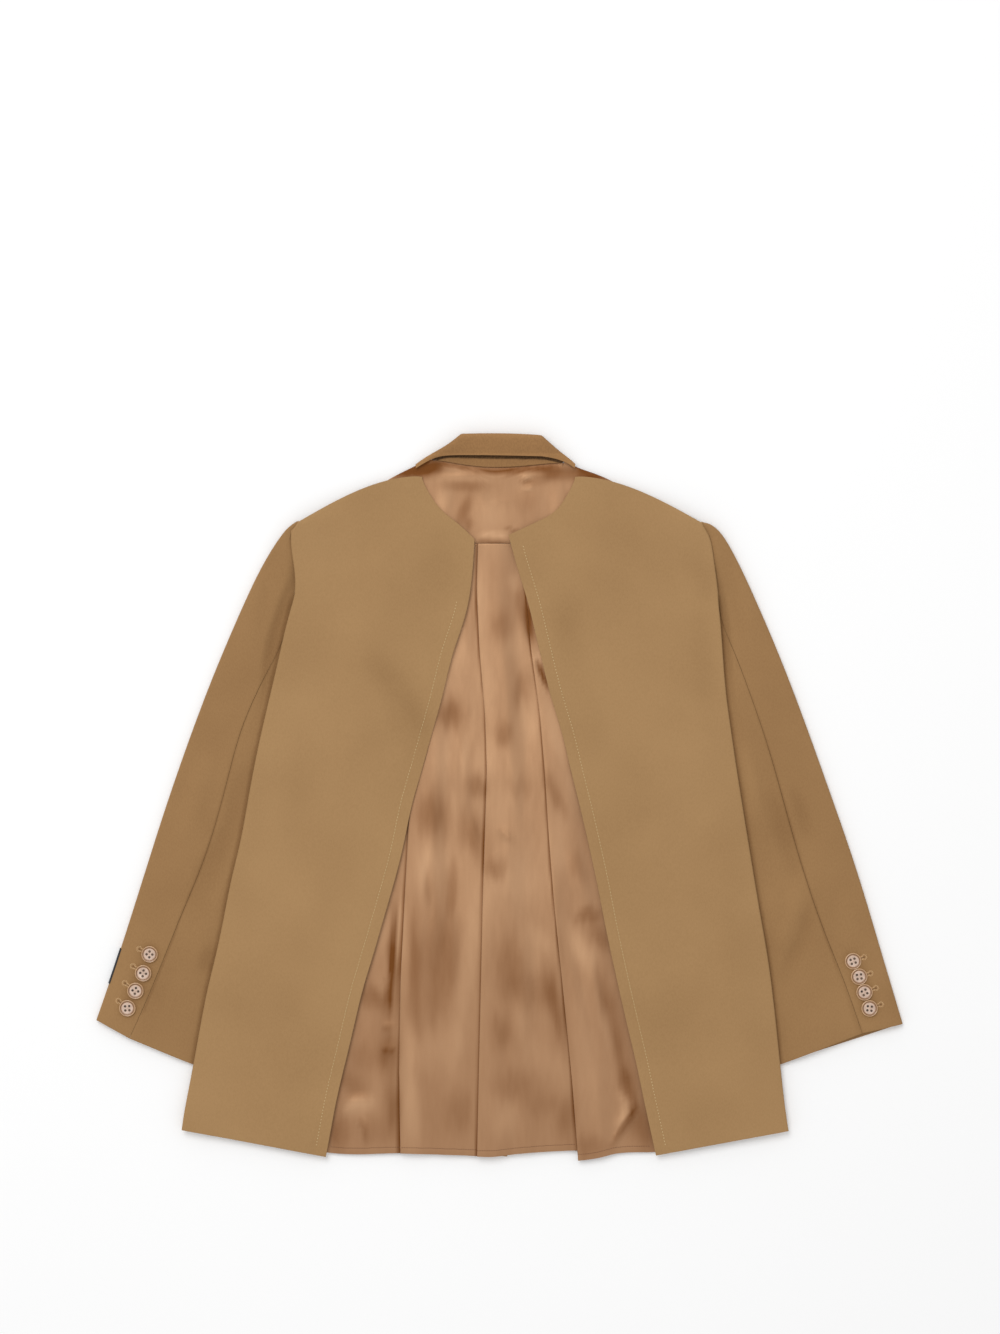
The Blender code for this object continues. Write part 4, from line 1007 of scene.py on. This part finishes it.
def painted_elbow_seam_shade(side):
    """Flat fold of painted shade along the seam between the two sleeve pieces, and on past the cuff."""
    rim = RIMS["top_sleeve_" + side]
    seam = rim[(rim[:, 2] > SEAM_HEIGHT) & (rim[:, 1] < SEAM_TOP) & (rim[:, 1] > SEAM_LEVELS[0])]
    seam = seam[np.argsort(seam[:, 1])]
    path = np.column_stack((np.interp(SEAM_LEVELS, seam[:, 1], seam[:, 0]), SEAM_LEVELS))
    beyond_cuff = 2.0 * np.array(SEAM_END[side]) - path[0]
    return Fold(np.vstack((beyond_cuff, path)), SEAM_WIDTH, 0.0, 0.0, SEAM_PAINTED_SHADE)


class BLAZER_OT_sleeves(bpy.types.Operator):
    """Two-piece sleeves with their elbow creases"""

    bl_idname = "blazer.sleeves"
    bl_label = "Sleeves"

    def execute(self, context):
        settings = context.scene.blazer_cloth
        for side, sign in (("left", 1), ("right", -1)):
            name = "wool_twill_sleeve_" + side
            material = wool_material(name, settings.sleeve, settings.sleeve_shade, sign * SLEEVE_LEAN)
            # Painted shade along the armhole seam.
            armhole = Fold(ARMHOLE_LINE[side], SEAM_WIDTH, 0.0, 0.0, SEAM_PAINTED_SHADE)
            # Painted shade in a hollow, and painted shadow round each button.
            tones = SLEEVE_PAINTED_SHADE + [BUTTON_PAINTED_SHADOW._replace(x=b.x, y=b.y) for b in BUTTONS[side]]
            for kind, rests_on in (("top_sleeve", []), ("under_sleeve", ["front_" + side])):
                node = f"{kind}_{side}"
                piece = cloth_copy(node, FINE)
                folds = SLEEVE_FOLDS + [painted_elbow_seam_shade(side), armhole]
                # Painted shadow that the back's side edge casts on the sleeve.
                beside = SIDE_PAINTED_SHADOW * beside_back(points_of(piece), side)
                press(piece, folds, upper_side, 0.9, 45.0, 1.4, tones, beside)
                tuck_under_back(piece, side, sign)
                dress(piece, material, node)
        return {"FINISHED"}


# How far below the fall's free edge the stand lies in painted shadow, and the places across
# where that edge is read.
COLLAR_GAP = 3.2
COLLAR_PLACES = np.arange(-88.0, 88.1, 4.0)
FREE_EDGE_BELOW = 385
FREE_EDGE_REACH = 90

# How far the painted shadow in the gap narrows, and the places beside the middle over which it does.
GAP_NARROWS = 0.6
GAP_PLACES = (30.0, 68.0)

# Painted shade and levels along of the fall's upper edge, painted highlight and levels
# along of its free edge, and painted shade of the stand itself and painted shadow of the
# gap on it.
TOP_EDGE_PAINTED_SHADE = 0.25
TOP_LEVELS = (398.0, 392.0)
FREE_EDGE_PAINTED_HIGHLIGHT = -0.45
FREE_LEVELS = (379.0, 376.5)
STAND_PAINTED_SHADE = 0.3
GAP_PAINTED_SHADOW = 2.1


class BLAZER_OT_collar(bpy.types.Operator):
    """Collar fall and the stand that shows below it"""

    bl_idname = "blazer.collar"
    bl_label = "Collar"

    def execute(self, context):
        material = bpy.data.materials["wool_twill_collar"]
        for node, corners, painted_shade_of in (
            ("collar_fall", COLLAR_CORNERS, self.fall_shade),
            ("collar_stand", (), self.stand_shade),
        ):
            piece = cloth_copy(node, FINE, corners=corners)
            press(piece, [], upper_side, 0.35, 30.0, 1.0, base=painted_shade_of(points_of(piece)))
            dress(piece, material, node)
        return {"FINISHED"}

    def fall_shade(self, places):
        """Painted shade along the fall's upper edge, painted highlight along its free edge."""
        along = places[:, 1]
        return TOP_EDGE_PAINTED_SHADE * smooth(*TOP_LEVELS, along) + FREE_EDGE_PAINTED_HIGHLIGHT * smooth(*FREE_LEVELS, along)

    def stand_shade(self, places):
        """Painted shadow on the stand in the gap below the fall, thinner to its ends, over painted shade on
        all the stand.
        """
        rim = RIMS["collar_fall"]
        free = rim[(rim[:, 1] < FREE_EDGE_BELOW) & (np.abs(rim[:, 0]) < FREE_EDGE_REACH)]
        edge = [free[np.abs(free[:, 0] - x) < 6.0, 1].min() for x in COLLAR_PLACES]
        depth = np.interp(places[:, 0], COLLAR_PLACES, edge) - places[:, 1]
        gap = COLLAR_GAP * (1.0 - GAP_NARROWS * smooth(*GAP_PLACES, np.abs(places[:, 0])))
        return STAND_PAINTED_SHADE + GAP_PAINTED_SHADOW * smooth(gap + 0.5, gap - 0.5, depth)


# Distances inside the opening's edge, and levels along, over which the folds of skirt and
# yoke grow, and those over which the yoke's fade under the collar.
SKIRT_EDGE = (1.0, 13.0)
SKIRT_LEVELS = (279.0, 240.0)
YOKE_LEVELS = (279.0, 284.0)
YOKE_END_LEVELS = (352.0, 358.0)


def skirt_weight(places):
    """Folds of the skirt: none at the opening's edge or at the yoke."""
    return smooth(*SKIRT_EDGE, inside_opening(places)) * smooth(*SKIRT_LEVELS, places[:, 1])


def yoke_weight(places):
    """Folds of the yoke: none at the skirt or under the collar."""
    return smooth(*YOKE_LEVELS, places[:, 1]) * (1 - smooth(*YOKE_END_LEVELS, places[:, 1]))


# Size of the cells, across and along, in which the skirt's lowest layer is looked for, and
# the heights above it over which the creases' painted shadow ends.
LAYER_CELL = (4.0, 12.0)
LAYER_END = (1.9, 1.3)

# How far past its pleat a crease's painted shadow darkens, and how far past it fades again.
CREASE_DARKENS = (-2.6, 0.4)
CREASE_FADES = (17.0, 14.0)

# How far the yoke's upper edge moves and sinks under the collar, how near to that edge,
# and how far to each side of the middle.
YOKE_TUCK = 2.2
YOKE_SINK = 1.6
TUCK_REACH = (8.0, 0.5)
TUCK_PLACES = (71.0, 64.0)

# Levels along between which the hem's painted shade grows.
FADE_LEVELS = (60.0, -300.0)


class BLAZER_OT_lining(bpy.types.Operator):
    """Satin yoke and the pleated skirt below it"""

    bl_idname = "blazer.lining"
    bl_label = "Satin lining"

    def execute(self, context):
        material = satin_material("satin_lining")
        skirt = cloth_copy("lining_skirt", PLAIN, row_cuts=3)
        shade = self.skirt_shade(points_of(skirt))
        press(skirt, SATIN_FOLDS, skirt_weight, 0.8, 28.0, 4.0, SATIN_PAINTED_LIGHT, shade, SKIRT_RAGGED)
        yoke = cloth_copy("lining_yoke", FINE)
        self.tuck_under_collar(yoke)
        # The yoke takes a little painted shade all over.
        press(yoke, YOKE_FOLDS, yoke_weight, 0.7, 18.0, 1.6, YOKE_PAINTED_LIGHT, 0.2, YOKE_RAGGED)
        for piece, node in ((skirt, "lining_skirt"), (yoke, "lining_yoke")):
            dress(piece, material, node)
        return {"FINISHED"}

    def skirt_shade(self, places):
        """Painted shade growing darker to the hem, with painted shadow in the creases where the skirt runs
        on under its pleats.
        """
        lowest = np.full(len(places), np.inf)
        cells = {}
        for number, cell in enumerate(map(tuple, np.round(places[:, :2] / LAYER_CELL).astype(int))):
            cells.setdefault(cell, []).append(number)
        for members in cells.values():
            lowest[members] = places[members, 2].min()
        on_lowest = smooth(*LAYER_END, places[:, 2] - lowest)
        shade = SATIN_HEM_PAINTED_SHADE * smooth(*FADE_LEVELS, places[:, 1])
        levels = [-row.y for row in PLEATS]
        for name in ("left", "middle", "right"):
            past = places[:, 0] - np.interp(-places[:, 1], levels, [getattr(row, name) for row in PLEATS])
            shade += PLEAT_PAINTED_SHADOW * smooth(*CREASE_DARKENS, past) * smooth(*CREASE_FADES, past) * on_lowest
        return shade

    def tuck_under_collar(self, yoke):
        """Runs the yoke's upper edge under the collar stand, where the seam holds it."""
        places = points_of(yoke)
        rim = RIMS["lining_yoke"]
        top = rim[rim[:, 1] > 340]
        top = top[np.argsort(top[:, 0])]
        below = np.interp(places[:, 0], top[:, 0], top[:, 1]) - places[:, 1]
        near = smooth(*TUCK_REACH, below) * smooth(*TUCK_PLACES, np.abs(places[:, 0]))
        places[:, 1] += near * YOKE_TUCK
        places[:, 2] -= near * YOKE_SINK
        set_points(yoke, places)


# One row for each ring of a stitch that is 1 long and 1 wide: its place along, its
# diameter and the height of its middle.
StitchRing = namedtuple("StitchRing", "along diameter height")
STITCH_RINGS = [
    StitchRing(-0.5, 0.35, 0.035),
    StitchRing(-0.3, 0.9, 0.217),
    StitchRing(0.0, 1.0, 0.28),
    StitchRing(0.3, 0.9, 0.217),
    StitchRing(0.5, 0.35, 0.035),
]
STITCH_SIDES = 6
Stitch = namedtuple("Stitch", "x y z turn length width")


def stitch_blank():
    """One arched stitch along X that is 1 long and 1 wide, grown ring by ring."""
    deselect_all()
    last = STITCH_RINGS[0]
    bpy.ops.mesh.primitive_circle_add(
        vertices=STITCH_SIDES,
        radius=last.diameter / 2,
        fill_type="NGON",
        location=(last.along, 0, last.height),
        rotation=(0, math.pi / 2, 0),
        calc_uvs=False,
    )
    blank = bpy.context.active_object
    bpy.ops.object.transform_apply(location=True, rotation=True, scale=False)
    bpy.ops.object.mode_set(mode="EDIT")
    for ring in STITCH_RINGS[1:]:
        step = (ring.along - last.along, 0, ring.height - last.height)
        bpy.ops.mesh.extrude_region_move(TRANSFORM_OT_translate={"value": step})
        scale = ring.diameter / last.diameter
        centre = (ring.along, 0, ring.height)
        bpy.ops.transform.resize(value=(1.0, scale, scale), center_override=centre)
        last = ring
    bpy.ops.mesh.select_all(action="SELECT")
    bpy.ops.mesh.normals_make_consistent(inside=False)
    bpy.ops.object.mode_set(mode="OBJECT")
    return blank


def sew(stitches, name, material):
    """Copies the stitch to each place, in one piece."""
    blank = stitch_blank()
    rows = bmesh.new()
    for stitch in stitches:
        done = len(rows.verts)
        rows.from_mesh(blank.data)
        rows.verts.ensure_lookup_table()
        place = Matrix.Translation(Vector((stitch.x, stitch.y, stitch.z)) * MM)
        size = Matrix.Diagonal((stitch.length * MM, stitch.width * MM, stitch.width * MM, 1.0))
        turned = place @ Matrix.Rotation(stitch.turn, 4, "Z") @ size
        bmesh.ops.transform(rows, matrix=turned, verts=rows.verts[done:])
    mesh = bpy.data.meshes.new(name)
    rows.to_mesh(mesh)
    rows.free()
    bpy.data.objects.remove(blank, do_unlink=True)
    mesh.shade_smooth()
    mesh.materials.append(material)
    piece = bpy.data.objects.new(name, mesh)
    bpy.context.scene.collection.objects.link(piece)
    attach(piece, "root")


def walk(points, pitch):
    """Points a pitch apart along a level line, each with its direction."""
    points = np.asarray(points, float)
    lengths = np.concatenate(([0.0], np.cumsum(np.linalg.norm(np.diff(points, axis=0), axis=1))))
    result = []
    for place in np.arange(pitch / 2, lengths[-1], pitch):
        k = min(np.searchsorted(lengths, place) - 1, len(points) - 2)
        step = points[k + 1] - points[k]
        spot = points[k] + step * (place - lengths[k]) / (lengths[k + 1] - lengths[k])
        result.append((spot[0], spot[1], math.atan2(step[1], step[0])))
    return result


def offset_line(points, distance):
    """Level line beside another, at a distance to its left."""
    along = np.gradient(points, axis=0)
    along /= np.linalg.norm(along, axis=1, keepdims=True)
    return points + np.column_stack((-along[:, 1], along[:, 0])) * distance


# Where each topstitch ends at the top, and how deep it sinks into the wool in places.
TOPSTITCH_END = {"left": 226.0, "right": 281.0}
TOPSTITCH_SINK = 0.5
HEM_PITCH = 2.6
HEM_LENGTH = 2.0
HEM_WIDTH = 0.5
HEM_PLACES = np.arange(-186.0, 168.0, 3.0)
HEM_LEVELS = np.arange(-410.0, -378.0, 0.5)


class BLAZER_OT_stitching(bpy.types.Operator):
    """Topstitches beside the open back and stitches along the lining's hem"""

    bl_idname = "blazer.stitching"
    bl_label = "Stitching"

    def execute(self, context):
        sewing = context.scene.blazer_sewing
        pitch, length, width = sewing.pitch / MM, sewing.length / MM, sewing.width / MM
        thread = thread_material("thread_topstitch", sewing.thread)
        for side, sign in (("left", 1), ("right", -1)):
            x, y = opening_line(side)
            levels = np.arange(-386.0, TOPSTITCH_END[side], 12.0)
            line = np.column_stack((np.interp(levels, y, x), levels))
            line = offset_line(line, sign * sewing.inset / MM)
            tree = surface_tree(f"back_{side}_cloth")
            stitches = []
            for spot_x, spot_y, turn in walk(line, pitch):
                z = drop_on(tree, spot_x, spot_y)
                if z is not None:
                    sink = TOPSTITCH_SINK * noise.noise(Vector((spot_x / 60.0, spot_y / 16.0, sign)))
                    stitches.append(Stitch(spot_x, spot_y, z - max(sink, 0.0), turn, length, width))
            sew(stitches, "topstitch_" + side, thread)
        tree = surface_tree("lining_skirt_cloth")
        line = []
        for x in HEM_PLACES:
            hem = next((y for y in HEM_LEVELS if drop_on(tree, x, y) is not None), None)
            if hem is not None:
                line.append((x, hem + sewing.hem_inset / MM))
        stitches = []
        for spot_x, spot_y, turn in walk(line, HEM_PITCH):
            z = drop_on(tree, spot_x, spot_y)
            if z is not None and abs(turn) < 0.5:
                stitches.append(Stitch(spot_x, spot_y, z, turn, HEM_LENGTH, HEM_WIDTH))
        sew(stitches, "hem_stitch", thread_material("thread_hem", sewing.hem_thread))
        return {"FINISHED"}


# Where a buttonhole starts beside its button's middle, the radius of its eye, and how far
# its stitches lie beside the slit, outside the eye and from each other.
HOLE_START = 5.0
HOLE_EYE = 2.0
HOLE_SIDE = 1.3
HOLE_ROUND = 0.6
HOLE_STEP = 1.0

# Distance between two dark threads of painted shadow in the slit, and how deep they and the eye's painted
# shadow lie.
SLIT_STEP = 0.8
SLIT_SINK = 0.02
EYE_SINK = 0.15

# Length and width of each kind of stitch.
HOLE_STITCH = (2.0, 0.75)
SLIT_STITCH = (1.3, 0.5)
EYE_STITCH = (1.5, 1.2)


class BLAZER_OT_buttonholes(bpy.types.Operator):
    """Stitched keyhole buttonholes under the sleeve buttons"""

    bl_idname = "blazer.buttonholes"
    bl_label = "Buttonholes"

    def execute(self, context):
        sewing = context.scene.blazer_sewing
        thread = thread_material("thread_buttonhole", sewing.hole_thread)
        # Dark stitches of painted shadow fill each slit and eye.
        dark = thread_material("thread_slit", sewing.slit)
        for side, buttons in BUTTONS.items():
            tree = surface_tree(f"top_sleeve_{side}_cloth")
            stitches = []
            slit_shadow_stitches = []
            for button in buttons:
                centre = np.array((button.x, button.y))
                eye = np.array((button.hole_x, button.hole_y))
                along = (eye - centre) / np.linalg.norm(eye - centre)
                across = np.array((-along[1], along[0]))
                heading = math.atan2(along[1], along[0])
                start = centre + along * HOLE_START
                length = np.linalg.norm(eye - start)
                spots = []
                for share in np.arange(0.0, length - HOLE_EYE, HOLE_STEP):
                    for hand in (-HOLE_SIDE, HOLE_SIDE):
                        spots.append((start + along * share + across * hand, heading + math.pi / 2))
                for angle in range(-140, 141, 28):
                    lean = math.radians(angle)
                    out = along * math.cos(lean) + across * math.sin(lean)
                    spots.append((eye + out * (HOLE_EYE + HOLE_ROUND), heading + lean))
                for spot, turn in spots:
                    z = drop_on(tree, *spot)
                    if z is not None:
                        stitches.append(Stitch(*spot, z, turn, *HOLE_STITCH))
                for share in np.arange(0.0, length, SLIT_STEP):
                    spot = start + along * share
                    z = drop_on(tree, *spot) - SLIT_SINK
                    slit_shadow_stitches.append(Stitch(*spot, z, heading, *SLIT_STITCH))
                z = drop_on(tree, *eye) - EYE_SINK
                slit_shadow_stitches.append(Stitch(*eye, z, heading, *EYE_STITCH))
            sew(stitches, "buttonholes_" + side, thread)
            sew(slit_shadow_stitches, "buttonhole_slits_" + side, dark)
        return {"FINISHED"}


# Turned profile of a button from its underside to the middle of its face: the share of
# its radius and the height of each ring.
ButtonRing = namedtuple("ButtonRing", "radius height")
BUTTON_RINGS = [
    ButtonRing(0.93, 0.45),
    ButtonRing(1.0, 1.2),
    ButtonRing(0.995, 1.8),
    ButtonRing(0.96, 2.55),
    ButtonRing(0.91, 2.75),
    ButtonRing(0.87, 2.6),
    ButtonRing(0.78, 2.5),
    ButtonRing(0.745, 2.05),
    ButtonRing(0.70, 2.0),
    ButtonRing(0.67, 2.3),
    ButtonRing(0.62, 2.38),
    ButtonRing(0.5, 2.15),
    ButtonRing(0.3, 2.05),
]
BUTTON_FOOT = 0.7

# Height above which a button's upper side lies, and the share of the radius below which
# each finish starts there.
FINISH_FROM = 1.8
FINISH_LIMITS = ((0.88, "rim"), (0.77, "groove"), (0.685, "face"))

# Height of the middle of a hole's cutter, and its depth.
CUTTER_HEIGHT = 3.0
CUTTER_DEPTH = 2.7

# Height, length and width of the threads over a button's middle, their length as a share
# of a hole's distance from it.
THREAD_HEIGHT = 1.95
THREAD_SHARE = 1.05
THREAD_WIDTH = 0.55


def button_blank(settings):
    """Turned four-hole button at the origin, its face up, with its five finishes."""
    radius = settings.diameter / 2
    deselect_all()
    bpy.ops.mesh.primitive_circle_add(
        vertices=settings.sides, radius=radius * BUTTON_FOOT, fill_type="NGON"
    )
    blank = bpy.context.active_object
    finishes = ("edge", "rim", "groove", "face", "hole")
    for finish, veins in zip(finishes, ("rim", "groove", "rim", "rim", "groove")):
        colours = getattr(settings, finish), getattr(settings, veins)
        blank.data.materials.append(button_material("button_" + finish, *colours))
    bpy.ops.object.mode_set(mode="EDIT")
    last = ButtonRing(BUTTON_FOOT, 0.0)
    for ring in BUTTON_RINGS:
        step = (0, 0, (ring.height - last.height) * MM)
        bpy.ops.mesh.extrude_region_move(TRANSFORM_OT_translate={"value": step})
        scale = ring.radius / last.radius
        bpy.ops.transform.resize(value=(scale, scale, 1.0), center_override=(0, 0, ring.height * MM))
        last = ring
    bpy.ops.mesh.select_all(action="SELECT")
    bpy.ops.mesh.normals_make_consistent(inside=False)
    bpy.ops.object.mode_set(mode="OBJECT")
    for polygon in blank.data.polygons:
        middle = polygon.center
        finish = "edge"
        if middle.z > FINISH_FROM * MM:
            for limit, name in FINISH_LIMITS:
                if math.hypot(middle.x, middle.y) / radius < limit:
                    finish = name
        polygon.material_index = finishes.index(finish)
    reach = settings.hole_pitch / 2
    for x, y in ((reach, reach), (reach, -reach), (-reach, reach), (-reach, -reach)):
        deselect_all()
        bpy.ops.mesh.primitive_cylinder_add(
            vertices=16,
            radius=settings.hole_diameter / 2,
            depth=CUTTER_DEPTH * MM,
            location=(x, y, CUTTER_HEIGHT * MM),
        )
        cutter = bpy.context.active_object
        # Each pit takes the holes' painted shade.
        cutter.data.materials.append(bpy.data.materials["button_hole"])
        cut = blank.modifiers.new("thread_hole", "BOOLEAN")
        cut.operation = "DIFFERENCE"
        cut.solver = "EXACT"
        cut.object = cutter
        cut.material_mode = "TRANSFER"
        apply_modifiers(blank)
        bpy.data.objects.remove(cutter, do_unlink=True)
    make_active(blank)
    bpy.ops.object.shade_smooth_by_angle(angle=math.radians(35))
    return blank


class BLAZER_OT_buttons(bpy.types.Operator):
    """Four sewn-on buttons at each cuff"""

    bl_idname = "blazer.buttons"
    bl_label = "Cuff buttons"

    def execute(self, context):
        settings = context.scene.blazer_buttons
        blank = button_blank(settings)
        pale = thread_material("thread_button", settings.face)
        reach = settings.hole_pitch / MM / math.sqrt(2) * THREAD_SHARE
        for side, buttons in BUTTONS.items():
            threads = []
            for number, button in enumerate(buttons, start=1):
                node = f"cuff_button_{side}_{number}"
                low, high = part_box(node)
                place = Vector(((low.x + high.x) / 2, (low.y + high.y) / 2, low.z))
                turn = math.radians(button.turn)
                piece = blank.copy()
                piece.data = blank.data.copy()
                piece.name = f"button_{side}_{number}"
                context.scene.collection.objects.link(piece)
                piece.data.transform(Matrix.Translation(place) @ Matrix.Rotation(turn, 4, "Z"))
                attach(piece, "root")
                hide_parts(node)
                x, y, z = place / MM
                for lean in (45, 135):
                    angle = turn + math.radians(lean)
                    threads.append(Stitch(x, y, z + THREAD_HEIGHT, angle, reach, THREAD_WIDTH))
            sew(threads, "button_threads_" + side, pale)
        bpy.data.objects.remove(blank, do_unlink=True)
        return {"FINISHED"}


class BLAZER_OT_label(bpy.types.Operator):
    """Blank label round the left sleeve's outer edge"""

    bl_idname = "blazer.label"
    bl_label = "Sleeve label"

    def execute(self, context):
        material = tape_material("label_tape", context.scene.blazer_cloth.tape)
        piece = cloth_copy("sleeve_label", PLAIN)
        dress(piece, material, "sleeve_label")
        return {"FINISHED"}


# Middle and length of the photo's frame on the garment, whose mean height fits the scale.
CAMERA_X = 0.5 * PHOTO_PIXEL
CAMERA_Y = (797 - 667) * PHOTO_PIXEL
FRAME_LENGTH = 1334 * PHOTO_PIXEL
GARMENT_TOP = 6.5
SENSOR_WIDTH = 36.0

# One row for each lamp, in metres: its place, and how wide and long it is.
Lamp = namedtuple("Lamp", "name place width length")
LAMPS = [Lamp("key", (-1.4, 3.0, 4.8), 2.8, 2.8), Lamp("strip", (-0.5, 0.2, 2.6), 0.3, 2.2)]


class BLAZER_OT_stage(bpy.types.Operator):
    """Pale floor, soft lights and a camera that looks straight down"""

    bl_idname = "blazer.stage"
    bl_label = "Studio"

    def execute(self, context):
        settings = context.scene.blazer_stage
        deselect_all()
        bpy.ops.mesh.primitive_plane_add(size=30.0, location=(0, 0, -0.2 * MM))
        floor = context.active_object
        floor.name = "studio_floor"
        floor.data.materials.append(floor_material("studio_floor", settings.floor))
        world = bpy.data.worlds.new("studio_sky")
        world.use_nodes = True
        sky = world.node_tree.nodes["Background"].inputs
        sky["Color"].default_value = (1.0, 1.0, 1.0, 1.0)
        sky["Strength"].default_value = settings.sky
        context.scene.world = world
        for lamp in LAMPS:
            light = bpy.data.lights.new(lamp.name, "AREA")
            light.shape = "RECTANGLE"
            light.size, light.size_y = lamp.width, lamp.length
            light.energy = getattr(settings, lamp.name + "_power")
            item = bpy.data.objects.new(lamp.name, light)
            item.location = lamp.place
            item.rotation_euler = (-Vector(lamp.place)).to_track_quat("-Z", "Y").to_euler()
            context.scene.collection.objects.link(item)
        camera_data = bpy.data.cameras.new("camera")
        camera_data.sensor_width = SENSOR_WIDTH
        distance = settings.camera_height - GARMENT_TOP * MM
        camera_data.lens = SENSOR_WIDTH * distance / (FRAME_LENGTH * MM)
        camera = bpy.data.objects.new("camera", camera_data)
        camera.location = (CAMERA_X * MM, CAMERA_Y * MM, settings.camera_height)
        context.scene.collection.objects.link(camera)
        context.scene.camera = camera
        context.scene.view_settings.view_transform = "Standard"
        return {"FINISHED"}


OPERATORS = (
    BLAZER_OT_backs,
    BLAZER_OT_fronts,
    BLAZER_OT_sleeves,
    BLAZER_OT_collar,
    BLAZER_OT_lining,
    BLAZER_OT_stitching,
    BLAZER_OT_buttonholes,
    BLAZER_OT_buttons,
    BLAZER_OT_label,
    BLAZER_OT_stage,
)


class BLAZER_PT_panel(bpy.types.Panel):
    """Blazer tools in the sidebar"""

    bl_idname = "BLAZER_PT_panel"
    bl_label = "Blazer"
    bl_space_type = "VIEW_3D"
    bl_region_type = "UI"
    bl_category = "Blazer"

    def draw(self, context):
        scene = context.scene
        for group in (scene.blazer_cloth, scene.blazer_sewing, scene.blazer_buttons, scene.blazer_stage):
            box = self.layout.box()
            for name in group.__annotations__:
                box.prop(group, name)
        for operator in OPERATORS:
            self.layout.operator(operator.bl_idname)


SETTINGS = {
    "blazer_cloth": BlazerClothSettings,
    "blazer_sewing": BlazerSewingSettings,
    "blazer_buttons": BlazerButtonSettings,
    "blazer_stage": BlazerStageSettings,
}


def register():
    for group in SETTINGS.values():
        bpy.utils.register_class(group)
    for name, group in SETTINGS.items():
        setattr(bpy.types.Scene, name, PointerProperty(type=group))
    for operator in OPERATORS:
        bpy.utils.register_class(operator)
    bpy.utils.register_class(BLAZER_PT_panel)


def unregister():
    bpy.utils.unregister_class(BLAZER_PT_panel)
    for operator in reversed(OPERATORS):
        bpy.utils.unregister_class(operator)
    for name, group in SETTINGS.items():
        delattr(bpy.types.Scene, name)
        bpy.utils.unregister_class(group)


def main():
    """Builds every piece in order."""
    register()
    bpy.ops.blazer.backs()
    bpy.ops.blazer.fronts()
    bpy.ops.blazer.sleeves()
    bpy.ops.blazer.collar()
    bpy.ops.blazer.lining()
    bpy.ops.blazer.stitching()
    bpy.ops.blazer.buttonholes()
    bpy.ops.blazer.buttons()
    bpy.ops.blazer.label()
    bpy.ops.blazer.stage()


if __name__ == "__main__":
    main()
